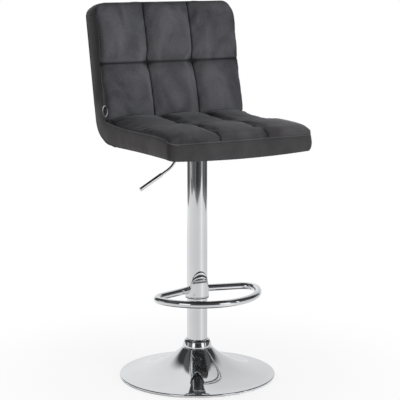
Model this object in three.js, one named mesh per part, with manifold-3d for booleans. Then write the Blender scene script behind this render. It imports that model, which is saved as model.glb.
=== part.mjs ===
// A swivelling bar stool: trumpet base, gas lift, D-shaped footrest and a quilted seat and back.
// Millimetres, +Z up. The origin is the centre of the base on the floor, and the seat faces -Y.
import * as THREE from "three";
import { mergeVertices } from "three/addons/utils/BufferGeometryUtils.js";
import Module from "manifold-3d";

const wasm = await Module();
wasm.setup();

// Clearances
const gap = 0.3; // between pieces that touch, seat or slide
const overrun = 5; // how far a cut runs past the faces it goes through

// Base
const baseRadius = 192.5;
const baseSheet = 2;
const baseLipHeight = 4.5;
const neckRadius = 36.5;
const neckHeight = 73.5;
const edgeRingHeight = 3;
const edgeRingWidth = 14;
const edgeRingInset = 0.8;
const flarePower = 1.8;
const ballastRadius = 122;
const ballastThickness = 9;
const ballastFloorGap = 4;
const counterboreRadius = 21;
const counterboreDepth = 5.5;
const hubWall = 6;
const hubFloor = 9;
const boltRadius = 6;
const boltHeadRadius = 11;
const boltHeadHeight = 4;
const boltLength = 32;
const washerRadius = 18;
const washerThickness = 1.6;

// Column
const columnRadius = 25;
const columnWall = 2;
const columnTop = 545;
const coverRingRadius = 35;
const coverRingHeight = 21;
const plugHeight = 20;
const bushLength = 72;
const bushLip = 3;

// Footrest
const footrestHeight = 217.5;
const footrestFrontRadius = 141;
const footrestCentreForward = 16;
const footrestArmStart = 13; // how far behind the column's axis the two arms' lines meet
const footrestArmAngle = THREE.MathUtils.degToRad(16);
const footrestBendRadius = 34;
const footrestTubeRadius = 8.8;
const footrestTubeWall = 1.5;
const linerWall = 1;
const collarWall = 2.2;
const collarDrop = 18.5; // from the tube's centre down to the collar's bottom
const collarSideHeight = 23;
const tongueHeight = 46.5;
const setScrewRadius = 3;
const setScrewDrop = 7.5; // from the tube's centre down to the screw's

// Thrust bearing at the foot of the lift
const bearingSeatHeight = 62;
const bearingSeatThickness = 4;
const raceThickness = 2;
const raceRadius = 19;
const ballRadius = 2.75;
const ballCircleRadius = 13;
const cageThickness = 2;
const cageMargin = 1.6;
const clipThickness = 1.8;
const clipWidth = 4;

// Gas lift
const rodRadius = 5;
const rodTail = 8;
const rodShoulderRadius = 10;
const rodShoulderHeight = 3.5;
const bumperHeight = 12;
const bumperRadius = 12.5;
const cylinderRadius = 14;
const cylinderWall = 2;
const cylinderTop = 569;
const sealLength = 14;
const liftStroke = 210;
const pistonHeight = 12;
const taperLength = 20;
const taperDrop = 1.2; // how much the radius narrows along the taper
const headPlugLength = 34;
const releasePinRadius = 3;
const releasePinSeat = 16;
const releasePinTravel = 4;

// Seat plate and its release lever
const plateSize = 168;
const plateCorner = 14;
const plateThickness = 3;
const boltSpacing = 126;
const seatBoltRadius = 3;
const seatBoltHeadRadius = 6;
const seatBoltHeadHeight = 4.5;
const seatBoltFlangeRadius = 8;
const seatBoltFlangeHeight = 1.5;
const seatBoltLength = 17;
const taperHubRadius = 21;
const leverRadius = 3.5;
const leverPivotOut = 30; // from the lift's axis
const leverPivotRise = 4.3; // above the plate's top face
const leverInnerOverhang = 5;
const leverKneeOut = 36;
const leverBendOut = 71;
const leverBendDrop = 54;
const leverEndOut = 156;
const leverEndDrop = 101;
const leverBendRadius = 10;
const gripRadius = 4.9;
const gripLength = 66;
const pivotPinRadius = 1.5;
const earThickness = 2.4;
const earHeight = 9;
const leverSlotHalfWidth = 6;
const pocketHalfWidth = 18;

// Upholstered seat and back
const seatWidth = 380;
const seatFront = 213; // from the lift's axis forwards
const seatUnderside = 577;
const cornerCentreBack = 97; // centre of the round between seat and back, behind the axis
const cornerRadius = 68;
const backLean = THREE.MathUtils.degToRad(10.8);
const seamLean = THREE.MathUtils.degToRad(9.8);
const backLength = 276; // from the round's centre up along the back
const coverThickness = 2;
const shellThickness = 12;
const padThickness = 50; // from the outer cover to the plane of the front seams
const bandThickness = 2.5;
const topCornerRadius = 22;
const frontCornerRadius = 15;
const quiltEdge = 3.5;
const quiltPad = 9;
const quiltCrown = 6;
const backQuiltEdge = 2;
const backQuiltPad = 15;
const backQuiltCrown = 10;
const quiltDrawIn = 2.5;
const dustCoverInset = 16;
const dustCoverThickness = 1.2;
const rearCoverClearance = 2; // from the rear bolts to the rear cover's edge under the seat
const nutFlangeRadius = 8.5;
const nutFlangeThickness = 1.2;
const nutBarrelRadius = 4.5;
const badgeRadius = 14;
const badgeThickness = 1.6;
const badgeBehindCrease = 1;
const badgeAboveCrease = 32;

// Counts, and shares with no unit
const columns = 3;
const rows = 2;
const stepsPerPad = 8;
const pillowPower = 0.55;
const quiltLiftShare = 1.5; // of quiltEdge: how far above the crease the back's pads start
const seatCrownPower = 1;
const backCrownPower = 0.4; // below 1 it puts the fullest part of the crown low down
const ballCount = 6;
const wideSides = 48;
const roundSides = 28;
const hiddenSides = 20;
const smallSides = 12;
const hexSides = 6;
const ballSides = 6;
const ballBelts = 5;
const footrestSteps = 40;
const tubeSides = 10;
const flareSteps = 9;
const leverSteps = 20;
const arcSteps = 6;

// Heights worked out from the pieces below them
const lipBottom = edgeRingHeight + gap;
const lipTop = lipBottom + baseLipHeight;
const ballastTop = ballastFloorGap + ballastThickness;
const hubBottom = ballastTop + gap;
const hubSeat = hubBottom + hubFloor;
const columnBottom = hubSeat + gap;
const columnBore = columnRadius - columnWall;
const collarBottom = footrestHeight - collarDrop;
const setScrewHeight = footrestHeight - setScrewDrop;
const plateTop = seatUnderside - gap;
const plateBottom = plateTop - plateThickness;
const leverHeight = plateTop + leverPivotRise;
const lowerRaceBottom = bearingSeatHeight + bearingSeatThickness + gap;
const ballHeight = lowerRaceBottom + raceThickness + gap + ballRadius;
const upperRaceBottom = ballHeight + ballRadius + gap;
const shoulderBottom = upperRaceBottom + raceThickness + gap;
const bumperBottom = shoulderBottom + rodShoulderHeight + gap;
const cylinderBottom = bumperBottom + bumperHeight + gap;
const pistonBottom = cylinderBottom + sealLength + liftStroke + pistonHeight;
const cornerCentreHeight = seatUnderside + cornerRadius;
const seamRadius = cornerRadius - padThickness;
const shellOuterRadius = cornerRadius - coverThickness - gap;
const shellInnerRadius = shellOuterRadius - shellThickness;
const foamOuterRadius = shellInnerRadius - gap;
const seamHeight = cornerCentreHeight - seamRadius;
const shellBottom = cornerCentreHeight - shellOuterRadius;
const shellTop = cornerCentreHeight - shellInnerRadius;
const coreInset = bandThickness + gap;
const reach = seatFront + cornerRadius + backLength;
const rearCoverEdge = boltSpacing / 2 + seatBoltFlangeRadius + rearCoverClearance;

// Materials
const metal = (color, roughness) => new THREE.MeshStandardMaterial({ color, roughness, metalness: 1 });
const matte = (color, roughness) => new THREE.MeshStandardMaterial({ color, roughness, metalness: 0 });
const chrome = () => metal(0xdfe1e4, 0.06);
const steel = () => metal(0xa9abae, 0.35);
const blackSteel = () => metal(0x1b1b1d, 0.5);
const rubber = () => matte(0x2a2a2b, 0.85);
const blackPlastic = () => matte(0x151516, 0.5);
const palePlastic = () => matte(0xc9cbcc, 0.5);
const velvet = () => matte(0x3c3c40, 0.95);
const foam = () => matte(0xd8d2bb, 0.95);
const plywood = () => matte(0xb98e5e, 0.7);
const feltBlack = () => matte(0x202021, 0.95);

// A closed mesh with shared corners, no collapsed faces, and its faces pointing out.
function sealed(geometry) {
  const bare = new THREE.BufferGeometry();
  bare.setAttribute("position", geometry.getAttribute("position"));
  bare.setIndex(geometry.index);
  const merged = mergeVertices(bare);
  const place = merged.getAttribute("position");
  const [a, b, c] = [new THREE.Vector3(), new THREE.Vector3(), new THREE.Vector3()];
  const kept = [];
  let volume = 0;
  for (let i = 0; i < merged.index.count; i += 3) {
    const [p, q, r] = [0, 1, 2].map((k) => merged.index.getX(i + k));
    if (p === q || q === r || r === p) continue;
    kept.push([p, q, r]);
    a.fromBufferAttribute(place, p);
    b.fromBufferAttribute(place, q);
    c.fromBufferAttribute(place, r);
    volume += a.dot(b.cross(c));
  }
  merged.setIndex((volume < 0 ? kept.map(([p, q, r]) => [p, r, q]) : kept).flat());
  return merged;
}

function toSolid(geometry) {
  const mesh = sealed(geometry);
  return new wasm.Manifold(
    new wasm.Mesh({
      numProp: 3,
      vertProperties: new Float32Array(mesh.getAttribute("position").array),
      triVerts: new Uint32Array(mesh.index.array),
    }),
  );
}

function fromSolid(solid) {
  const mesh = solid.getMesh();
  const geometry = new THREE.BufferGeometry();
  geometry.setAttribute("position", new THREE.BufferAttribute(mesh.vertProperties, 3));
  geometry.setIndex(new THREE.BufferAttribute(mesh.triVerts, 1));
  return geometry;
}

const cut = (body, ...tools) => fromSolid(tools.reduce((left, t) => left.subtract(toSolid(t)), toSolid(body)));
const join = (body, ...more) => fromSolid(more.reduce((sum, m) => sum.add(toSolid(m)), toSolid(body)));
const common = (body, other) => fromSolid(toSolid(body).intersect(toSolid(other)));

// A solid of revolution about Z from [radius, height] points, which close on themselves.
function turned(profile, sides) {
  const points = [...profile, profile[0]].map(([r, z]) => new THREE.Vector2(r, z));
  return sealed(new THREE.LatheGeometry(points, sides).rotateX(Math.PI / 2));
}

function ring(inner, outer, bottom, top, sides = roundSides) {
  return turned([[inner, bottom], [outer, bottom], [outer, top], [inner, top]], sides);
}

const disc = (radius, bottom, top, sides = roundSides) => ring(0, radius, bottom, top, sides);

function block(from, to) {
  const size = new THREE.Vector3().subVectors(to, from);
  const middle = new THREE.Vector3().addVectors(from, to).divideScalar(2);
  return new THREE.BoxGeometry(size.x, size.y, size.z).translate(middle.x, middle.y, middle.z);
}

const at = (x, y, z) => new THREE.Vector3(x, y, z);

// Prisms of a flat outline: upright, across the stool, or through it from front to back.
function upright(shape, bottom, top) {
  const depth = top - bottom;
  const solid = new THREE.ExtrudeGeometry(shape, { depth, bevelEnabled: false, curveSegments: arcSteps });
  return sealed(solid.translate(0, 0, bottom));
}

function across(shape, halfWidth) {
  const turn = new THREE.Matrix4().makeBasis(at(0, 1, 0), at(0, 0, 1), at(1, 0, 0));
  return upright(shape, -halfWidth, halfWidth).applyMatrix4(turn);
}

function through(shape, halfDepth) {
  return upright(shape, -halfDepth, halfDepth).rotateX(Math.PI / 2);
}

function circle(radius, sides) {
  const corner = (i) => (2 * Math.PI * i) / sides;
  const points = Array.from({ length: sides }, (_, i) => corner(i));
  return points.map((a) => new THREE.Vector2(radius * Math.cos(a), radius * Math.sin(a)));
}

// A round bar or tube swept along a curve.
function swept(curve, radius, bore, sides, steps) {
  const section = new THREE.Shape(circle(radius, sides));
  if (bore > 0) section.holes.push(new THREE.Path(circle(bore, sides)));
  return sealed(new THREE.ExtrudeGeometry(section, { steps, extrudePath: curve, bevelEnabled: false }));
}

// A straight-sided slot outline along X with round ends.
function slot(from, to, halfWidth) {
  const shape = new THREE.Shape();
  shape.absarc(to - halfWidth, 0, halfWidth, -Math.PI / 2, Math.PI / 2, false);
  shape.absarc(from + halfWidth, 0, halfWidth, Math.PI / 2, (3 * Math.PI) / 2, false);
  return shape;
}

function roundedSquare(size, corner) {
  const inner = size / 2 - corner;
  const shape = new THREE.Shape();
  shape.absarc(inner, -inner, corner, -Math.PI / 2, 0, false);
  shape.absarc(inner, inner, corner, 0, Math.PI / 2, false);
  shape.absarc(-inner, inner, corner, Math.PI / 2, Math.PI, false);
  shape.absarc(-inner, -inner, corner, Math.PI, (3 * Math.PI) / 2, false);
  return shape;
}

function piece(name, geometry, material) {
  const mesh = new THREE.Mesh(geometry, material);
  mesh.name = name;
  return mesh;
}

// Base: the pressed trumpet, what it stands on and what weighs it down.
function flare(step, drop) {
  const share = step / flareSteps;
  const radius = baseRadius - baseSheet + (neckRadius - baseRadius + baseSheet) * share;
  return [radius, lipTop + (neckHeight - lipTop) * share ** flarePower - drop];
}

function basePlate() {
  const steps = Array.from({ length: flareSteps + 1 }, (_, i) => i);
  const bore = columnRadius + gap;
  const outside = [[baseRadius, lipBottom], [baseRadius, lipTop - baseSheet / 2]];
  const inside = [[baseRadius - baseSheet, lipTop - baseSheet], [baseRadius - baseSheet, lipBottom]];
  const upper = steps.map((i) => flare(i, 0));
  const under = steps.slice(1).map((i) => flare(i, baseSheet)).reverse();
  const rim = [[bore, neckHeight], [bore, neckHeight - baseSheet]];
  return piece("base_plate", turned([...outside, ...upper, ...rim, ...under, ...inside], wideSides), chrome());
}

function edgeRing() {
  const outer = baseRadius - edgeRingInset;
  const geometry = ring(outer - edgeRingWidth, outer, 0, edgeRingHeight, wideSides);
  return piece("base_edge_ring", geometry, palePlastic());
}

function ballastDisc() {
  const seat = ballastFloorGap + counterboreDepth;
  const profile = [
    [counterboreRadius, ballastFloorGap],
    [ballastRadius, ballastFloorGap],
    [ballastRadius, ballastTop],
    [boltRadius + gap, ballastTop],
    [boltRadius + gap, seat],
    [counterboreRadius, seat],
  ];
  return piece("ballast_disc", turned(profile, roundSides), blackSteel());
}

function baseHub() {
  const bore = columnRadius + gap;
  const top = neckHeight - baseSheet - gap;
  const profile = [
    [boltRadius + gap, hubBottom],
    [bore + hubWall, hubBottom],
    [bore + hubWall, top],
    [bore, top],
    [bore, hubSeat],
    [boltRadius + gap, hubSeat],
  ];
  return piece("base_hub", turned(profile, roundSides), blackSteel());
}

const washerTop = ballastFloorGap + counterboreDepth - gap;
const baseBoltSeat = washerTop - washerThickness - gap;

function baseWasher() {
  const geometry = ring(boltRadius + gap, washerRadius, washerTop - washerThickness, washerTop, hiddenSides);
  return piece("base_washer", geometry, steel());
}

function baseBolt() {
  const head = disc(boltHeadRadius, baseBoltSeat - boltHeadHeight, baseBoltSeat, hexSides);
  const shank = disc(boltRadius, baseBoltSeat - boltHeadHeight / 2, baseBoltSeat + boltLength, smallSides);
  return piece("base_bolt", join(head, shank), steel());
}

function columnPlug() {
  const top = columnBottom + plugHeight;
  const geometry = ring(boltRadius + gap, columnBore - gap, columnBottom, top, hiddenSides);
  return piece("column_plug", geometry, steel());
}

function columnTube() {
  return piece("column_tube", ring(columnBore, columnRadius, columnBottom, columnTop), chrome());
}

function coverRing() {
  const bottom = neckHeight + gap;
  const bore = columnRadius + gap;
  const rounding = coverRingRadius - bore;
  const quarter = Array.from({ length: arcSteps + 1 }, (_, i) => (Math.PI / 2) * (i / arcSteps));
  const crown = quarter.map((a) => [
    bore + rounding * Math.cos(a),
    bottom + coverRingHeight - rounding + rounding * Math.sin(a),
  ]);
  const profile = [[bore, bottom], [coverRingRadius, bottom], ...crown];
  return piece("column_cover_ring", turned(profile, roundSides), chrome());
}

function guideBush() {
  const bore = cylinderRadius + gap;
  const profile = [
    [bore, columnTop - bushLength],
    [columnBore - gap, columnTop - bushLength],
    [columnBore - gap, columnTop + gap],
    [columnRadius, columnTop + gap],
    [columnRadius, columnTop + gap + bushLip],
    [bore, columnTop + gap + bushLip],
  ];
  return piece("guide_bush", turned(profile, roundSides), blackPlastic());
}

// Footrest: the D-shaped tube, its collar with an arched tongue, the liner and the set screw.
class LevelCurve extends THREE.Curve {
  constructor(path, height) {
    super();
    this.path = path;
    this.height = height;
  }
  getPoint(share, target = new THREE.Vector3()) {
    const flat = this.path.getPoint(share);
    return target.set(flat.x, flat.y, this.height);
  }
}

// Half the D, on the right: where the arm's bend is centred, and the direction of its end.
function footrestBend() {
  const out = new THREE.Vector2(Math.cos(footrestArmAngle), -Math.sin(footrestArmAngle));
  const forward = new THREE.Vector2(out.y, -out.x);
  const front = new THREE.Vector2(0, -footrestCentreForward);
  const start = new THREE.Vector2(0, footrestArmStart).addScaledVector(forward, footrestBendRadius);
  const toStart = new THREE.Vector2().subVectors(start, front);
  const along = toStart.dot(out);
  const far = (footrestFrontRadius - footrestBendRadius) ** 2;
  const distance = -along + Math.sqrt(along ** 2 - toStart.lengthSq() + far);
  const centre = start.addScaledVector(out, distance);
  const meet = Math.atan2(centre.y - front.y, centre.x);
  return { centre, front, meet };
}

function footrestPath() {
  const { centre, front, meet } = footrestBend();
  const armEnd = Math.PI / 2 - footrestArmAngle;
  const inner = columnRadius / 2;
  const armBack = footrestArmStart - inner * Math.tan(footrestArmAngle);
  const bendStart = Math.PI - armEnd;
  const path = new THREE.Path();
  path.moveTo(-inner, armBack);
  path.lineTo(
    -centre.x + footrestBendRadius * Math.cos(bendStart),
    centre.y + footrestBendRadius * Math.sin(bendStart),
  );
  path.absarc(-centre.x, centre.y, footrestBendRadius, bendStart, Math.PI - meet, false);
  path.absarc(0, front.y, footrestFrontRadius, Math.PI - meet, 2 * Math.PI + meet, false);
  path.absarc(centre.x, centre.y, footrestBendRadius, meet, armEnd, false);
  path.lineTo(inner, armBack);
  return path;
}

function footrestTube() {
  const curve = new LevelCurve(footrestPath(), footrestHeight);
  const bore = footrestTubeRadius - footrestTubeWall;
  const tube = swept(curve, footrestTubeRadius, bore, tubeSides, footrestSteps);
  const collarSpace = disc(collarRadius + gap, collarBottom - overrun, collarBottom + tongueHeight);
  return piece("footrest_tube", cut(tube, collarSpace), chrome());
}

const linerRadius = columnRadius + gap + linerWall;
const collarRadius = linerRadius + gap + collarWall;

// Everything above the arched top edge of the collar, seen from the front.
function aboveArch() {
  const side = collarBottom + collarSideHeight;
  const halfWidth = collarRadius + gap;
  const shape = new THREE.Shape();
  shape.moveTo(-halfWidth - overrun, side);
  shape.lineTo(-halfWidth, side);
  shape.absellipse(0, side, halfWidth, tongueHeight, Math.PI, 0, true);
  shape.lineTo(halfWidth + overrun, side);
  shape.lineTo(halfWidth + overrun, side + tongueHeight + overrun);
  shape.lineTo(-halfWidth - overrun, side + tongueHeight + overrun);
  return upright(shape, 0, collarRadius + overrun).rotateX(Math.PI / 2);
}

function behindTongue() {
  const side = collarBottom + collarSideHeight;
  const far = collarRadius + overrun;
  return block(at(-far, -gap, side), at(far, far, side + tongueHeight + overrun));
}

const setScrewHole = (radius) =>
  disc(radius, columnRadius + gap, collarRadius + overrun, smallSides)
    .rotateX(Math.PI / 2)
    .translate(0, 0, setScrewHeight)
    .rotateZ(-Math.PI / 4);

function footrestCollar() {
  const top = collarBottom + collarSideHeight + tongueHeight;
  const sleeve = ring(linerRadius + gap, collarRadius, collarBottom, top);
  const shaped = cut(sleeve, aboveArch(), behindTongue(), setScrewHole(setScrewRadius + gap));
  return piece("footrest_collar", shaped, chrome());
}

function footrestLiner() {
  const sleeve = ring(columnRadius + gap, linerRadius, collarBottom, collarBottom + collarSideHeight);
  return piece("footrest_liner", cut(sleeve, setScrewHole(setScrewRadius + gap)), blackPlastic());
}

function footrestSetScrew() {
  const screw = disc(setScrewRadius, columnRadius + gap, collarRadius, smallSides);
  const placed = screw.rotateX(Math.PI / 2).translate(0, 0, setScrewHeight).rotateZ(-Math.PI / 4);
  return piece("footrest_set_screw", placed, steel());
}

// Thrust bearing: two races, and balls in a cage that turns at half the seat's speed.
function bearingSeat() {
  const bore = rodRadius + clipWidth / 2;
  const top = bearingSeatHeight + bearingSeatThickness;
  const geometry = ring(bore, columnBore - gap, bearingSeatHeight, top, hiddenSides);
  return piece("bearing_seat", geometry, steel());
}

function race(name, bore, bottom) {
  return piece(name, ring(bore, raceRadius, bottom, bottom + raceThickness, hiddenSides), steel());
}

const ballPlaces = Array.from({ length: ballCount }, (_, i) => {
  const turn = (2 * Math.PI * i) / ballCount;
  return at(ballCircleRadius * Math.cos(turn), ballCircleRadius * Math.sin(turn), ballHeight);
});

function ballCage() {
  const half = ballRadius + cageMargin;
  const [low, high] = [ballHeight - cageThickness / 2, ballHeight + cageThickness / 2];
  const body = ring(ballCircleRadius - half, ballCircleRadius + half, low, high, hiddenSides);
  const holes = ballPlaces.map(({ x, y }) => {
    return disc(ballRadius + gap, low - overrun, high + overrun, smallSides).translate(x, y, 0);
  });
  return piece("ball_cage", cut(body, ...holes), blackPlastic());
}

function bearingBall(place, index) {
  const ball = new THREE.SphereGeometry(ballRadius, ballSides, ballBelts);
  const mesh = piece(`bearing_ball_${index + 1}`, sealed(ball), steel());
  mesh.position.copy(place);
  return mesh;
}

// Gas lift: the rod that stays down, and the cylinder that rises with the seat.
function pistonRod() {
  const bottom = bearingSeatHeight - gap - clipThickness - rodTail;
  const top = pistonBottom + pistonHeight + gap;
  const shoulderTop = shoulderBottom + rodShoulderHeight;
  const profile = [
    [0, bottom],
    [rodRadius, bottom],
    [rodRadius, shoulderBottom],
    [rodShoulderRadius, shoulderBottom],
    [rodShoulderRadius, shoulderTop],
    [rodRadius, shoulderTop],
    [rodRadius, top],
    [0, top],
  ];
  return piece("piston_rod", turned(profile, smallSides), steel());
}

function retainingClip() {
  const top = bearingSeatHeight - gap;
  const inner = rodRadius + gap;
  return piece("retaining_clip", ring(inner, inner + clipWidth, top - clipThickness, top, smallSides), steel());
}

function rodBumper() {
  const geometry = ring(rodRadius + gap, bumperRadius, bumperBottom, bumperBottom + bumperHeight, smallSides);
  return piece("rod_bumper", geometry, rubber());
}

function pistonHead() {
  const radius = cylinderRadius - cylinderWall - gap;
  const geometry = ring(rodRadius + gap, radius, pistonBottom, pistonBottom + pistonHeight, smallSides);
  return piece("piston_head", geometry, blackPlastic());
}

function gasCylinder() {
  const bore = cylinderRadius - cylinderWall;
  const valve = releasePinRadius + gap;
  const valveFloor = cylinderTop - releasePinSeat - releasePinTravel;
  const profile = [
    [bore, cylinderBottom],
    [cylinderRadius, cylinderBottom],
    [cylinderRadius, cylinderTop - taperLength],
    [cylinderRadius - taperDrop, cylinderTop],
    [valve, cylinderTop],
    [valve, valveFloor],
    [0, valveFloor],
    [0, cylinderTop - headPlugLength],
    [bore, cylinderTop - headPlugLength],
  ];
  return piece("gas_cylinder", turned(profile, roundSides), chrome());
}

function cylinderSeal() {
  const outer = cylinderRadius - cylinderWall - gap;
  const geometry = ring(rodRadius + gap, outer, cylinderBottom, cylinderBottom + sealLength, smallSides);
  return piece("cylinder_seal", geometry, blackPlastic());
}

function releasePin() {
  const top = leverHeight - leverRadius - gap;
  return piece("release_pin", disc(releasePinRadius, cylinderTop - releasePinSeat, top, smallSides), steel());
}

// Seat plate with its tapered hub, the lever's bracket and the four bolts.
const boltPlaces = [-1, 1].flatMap((x) => [-1, 1].map((y) => [x, y]));
const boltNames = ["front_left", "rear_left", "front_right", "rear_right"];
const boltAt = (index) => boltPlaces[index].map((side) => (side * boltSpacing) / 2);

function boltHoles(radius, bottom, top) {
  return boltNames.map((_, i) => disc(radius, bottom, top, smallSides).translate(...boltAt(i), 0));
}

function mountPlate() {
  const plate = upright(roundedSquare(plateSize, plateCorner), plateBottom, plateTop);
  const opening = slot(-leverPivotOut - pocketHalfWidth, leverInnerOverhang + leverRadius, leverSlotHalfWidth);
  const holes = boltHoles(seatBoltRadius + gap, plateBottom - overrun, plateTop + overrun);
  const slotTool = upright(opening, plateBottom - overrun, plateTop + overrun);
  return piece("mount_plate", cut(plate, slotTool, ...holes), blackSteel());
}

function taperHub() {
  const top = plateBottom - gap;
  const bottom = cylinderTop - taperLength;
  const profile = [
    [cylinderRadius + gap, bottom],
    [taperHubRadius, bottom],
    [taperHubRadius, top],
    [cylinderRadius - taperDrop + gap, top],
    [cylinderRadius - taperDrop + gap, cylinderTop],
  ];
  return piece("taper_hub", turned(profile, roundSides), blackSteel());
}

function leverBracket() {
  const [near, far] = [leverPivotOut - earHeight, leverPivotOut + pocketHalfWidth + leverRadius];
  const inner = leverSlotHalfWidth + gap;
  const outer = inner + earThickness;
  const bottom = plateTop + gap;
  const body = block(at(-far, -outer, bottom), at(-near, outer, bottom + earHeight));
  const space = block(
    at(-far + earThickness, -inner, bottom - overrun),
    at(-near + overrun, inner, bottom + earHeight + overrun),
  );
  return piece("lever_bracket", cut(body, space, pivotHole(pivotPinRadius + gap, outer + overrun)), blackSteel());
}

function pivotHole(radius, halfLength) {
  return disc(radius, -halfLength, halfLength, smallSides)
    .rotateX(Math.PI / 2)
    .translate(-leverPivotOut, 0, leverHeight);
}

function pivotPin() {
  const halfLength = leverSlotHalfWidth + gap + earThickness + gap;
  return piece("lever_pivot_pin", pivotHole(pivotPinRadius, halfLength), steel());
}

function seatBolt(index) {
  const top = plateBottom - gap;
  const flangeBottom = top - seatBoltFlangeHeight;
  const head = disc(seatBoltHeadRadius, flangeBottom - seatBoltHeadHeight, flangeBottom + gap, hexSides);
  const flange = disc(seatBoltFlangeRadius, flangeBottom, top, smallSides);
  const shank = disc(seatBoltRadius, flangeBottom, top + seatBoltLength, smallSides);
  const mesh = piece(`seat_bolt_${boltNames[index]}`, join(head, flange, shank), steel());
  mesh.position.set(...boltAt(index), 0);
  return mesh;
}

function tNut(index) {
  const flangeTop = shellTop;
  const flangeBottom = flangeTop - nutFlangeThickness;
  const profile = [
    [seatBoltRadius + gap, shellBottom],
    [nutBarrelRadius, shellBottom],
    [nutBarrelRadius, flangeBottom],
    [nutFlangeRadius, flangeBottom],
    [nutFlangeRadius, flangeTop],
    [seatBoltRadius + gap, flangeTop],
  ];
  const mesh = piece(`t_nut_${boltNames[index]}`, turned(profile, smallSides), steel());
  mesh.position.set(...boltAt(index), 0);
  return mesh;
}

// Release lever: it lies on the pin, turns down through the plate and runs out to the left.
const leverEnd = at(-leverEndOut, 0, leverHeight - leverEndDrop);
const leverBend = at(-leverBendOut, 0, leverHeight - leverBendDrop);

function leverCurve() {
  const knee = at(-leverKneeOut, 0, leverHeight);
  const start = at(leverInnerOverhang, 0, leverHeight);
  const towards = (from, to) => new THREE.Vector3().subVectors(to, from).setLength(leverBendRadius).add(from);
  const curve = new THREE.CurvePath();
  curve.add(new THREE.LineCurve3(start, towards(knee, start)));
  curve.add(new THREE.QuadraticBezierCurve3(towards(knee, start), knee, towards(knee, leverBend)));
  curve.add(new THREE.LineCurve3(towards(knee, leverBend), towards(leverBend, knee)));
  curve.add(new THREE.QuadraticBezierCurve3(towards(leverBend, knee), leverBend, towards(leverBend, leverEnd)));
  curve.add(new THREE.LineCurve3(towards(leverBend, leverEnd), leverEnd));
  return curve;
}

function releaseLever() {
  const rod = swept(leverCurve(), leverRadius, 0, tubeSides, leverSteps);
  return piece("release_lever", cut(rod, pivotHole(pivotPinRadius + gap, leverRadius + overrun)), chrome());
}

function leverGrip() {
  const bore = leverRadius + gap;
  const wall = gripRadius - bore;
  const profile = [
    [bore, 0],
    [gripRadius, 0],
    [gripRadius, gripLength],
    [gripRadius - wall, gripLength + wall],
    [0, gripLength + wall],
    [0, gripLength],
    [bore, gripLength],
  ];
  const mesh = piece("lever_grip", turned(profile, smallSides), chrome());
  const direction = new THREE.Vector3().subVectors(leverEnd, leverBend).normalize();
  mesh.quaternion.setFromUnitVectors(at(0, 0, 1), direction);
  mesh.position.copy(leverEnd).addScaledVector(direction, gap - gripLength);
  return mesh;
}

// Seat and back share one L-shaped section, drawn in Y and Z about the centre of its round.
const backPoint = (offset, along) =>
  new THREE.Vector2(
    cornerCentreBack + offset * Math.cos(backLean) + along * Math.sin(backLean),
    cornerCentreHeight - offset * Math.sin(backLean) + along * Math.cos(backLean),
  );
function arcTo(shape, radius, start, end, turnsBack) {
  const across = cornerCentreBack + radius * Math.cos(start);
  shape.lineTo(across, cornerCentreHeight + radius * Math.sin(start));
  shape.absarc(cornerCentreBack, cornerCentreHeight, radius, start, end, turnsBack);
}
const arcStart = -Math.PI / 2;
const arcEnd = -backLean;

// Where the seams of the seat and of the back meet, and a point along the back's seam.
const creaseAlong = (seamHeight - cornerCentreHeight + seamRadius * Math.sin(backLean)) / Math.cos(backLean);
const crease = backPoint(seamRadius, creaseAlong);
const seamPoint = (along) =>
  new THREE.Vector2(crease.x + along * Math.sin(seamLean), crease.y + along * Math.cos(seamLean));
const seamLength = (backLength - creaseAlong) / Math.cos(backLean - seamLean);

// An even skin round the outside of the L, from its front or underside start to the back's top.
function skinSection(outer, inner, start) {
  const shape = new THREE.Shape();
  const [outerTop, innerTop] = [outer, inner].map((offset) => backPoint(offset, backLength));
  shape.moveTo(start, cornerCentreHeight - outer);
  arcTo(shape, outer, arcStart, arcEnd, false);
  shape.lineTo(outerTop.x, outerTop.y);
  shape.lineTo(innerTop.x, innerTop.y);
  arcTo(shape, inner, arcEnd, arcStart, true);
  shape.lineTo(start, cornerCentreHeight - inner);
  return shape;
}

// The padded L between an outer offset and the front seams.
function paddedSection(outer) {
  const shape = new THREE.Shape();
  const top = backPoint(outer, backLength);
  const seamTop = seamPoint(seamLength);
  shape.moveTo(-seatFront, cornerCentreHeight - outer);
  arcTo(shape, outer, arcStart, arcEnd, false);
  shape.lineTo(top.x, top.y);
  shape.lineTo(seamTop.x, seamTop.y);
  shape.lineTo(crease.x, crease.y);
  shape.lineTo(-seatFront, crease.y);
  return shape;
}

function backFoamSection() {
  const shape = new THREE.Shape();
  const top = backPoint(foamOuterRadius, backLength);
  const seamTop = seamPoint(seamLength);
  shape.moveTo(cornerCentreBack + gap, crease.y);
  arcTo(shape, foamOuterRadius, arcStart + Math.asin(gap / foamOuterRadius), arcEnd, false);
  shape.lineTo(top.x, top.y);
  shape.lineTo(seamTop.x, seamTop.y);
  shape.lineTo(crease.x, crease.y);
  return shape;
}

// What is left inside the rounded top corners of the back and the rounded front corners.
function envelope(inset) {
  const half = seatWidth / 2 - inset;
  const topRadius = topCornerRadius - inset;
  const top = backLength - inset;
  const outline = new THREE.Shape();
  outline.moveTo(-half, -reach);
  outline.lineTo(half, -reach);
  outline.absarc(half - topRadius, top - topRadius, topRadius, 0, Math.PI / 2, false);
  outline.absarc(-half + topRadius, top - topRadius, topRadius, Math.PI / 2, Math.PI, false);
  const tall = through(outline, reach).rotateX(-backLean);
  tall.translate(0, cornerCentreBack, cornerCentreHeight);
  const frontRadius = frontCornerRadius - inset;
  const front = -seatFront + inset;
  const plan = new THREE.Shape();
  plan.moveTo(half, reach);
  plan.lineTo(-half, reach);
  plan.absarc(-half + frontRadius, front + frontRadius, frontRadius, Math.PI, (3 * Math.PI) / 2, false);
  plan.absarc(half - frontRadius, front + frontRadius, frontRadius, -Math.PI / 2, 0, false);
  return common(tall, upright(plan, 0, cornerCentreHeight + reach));
}

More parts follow.
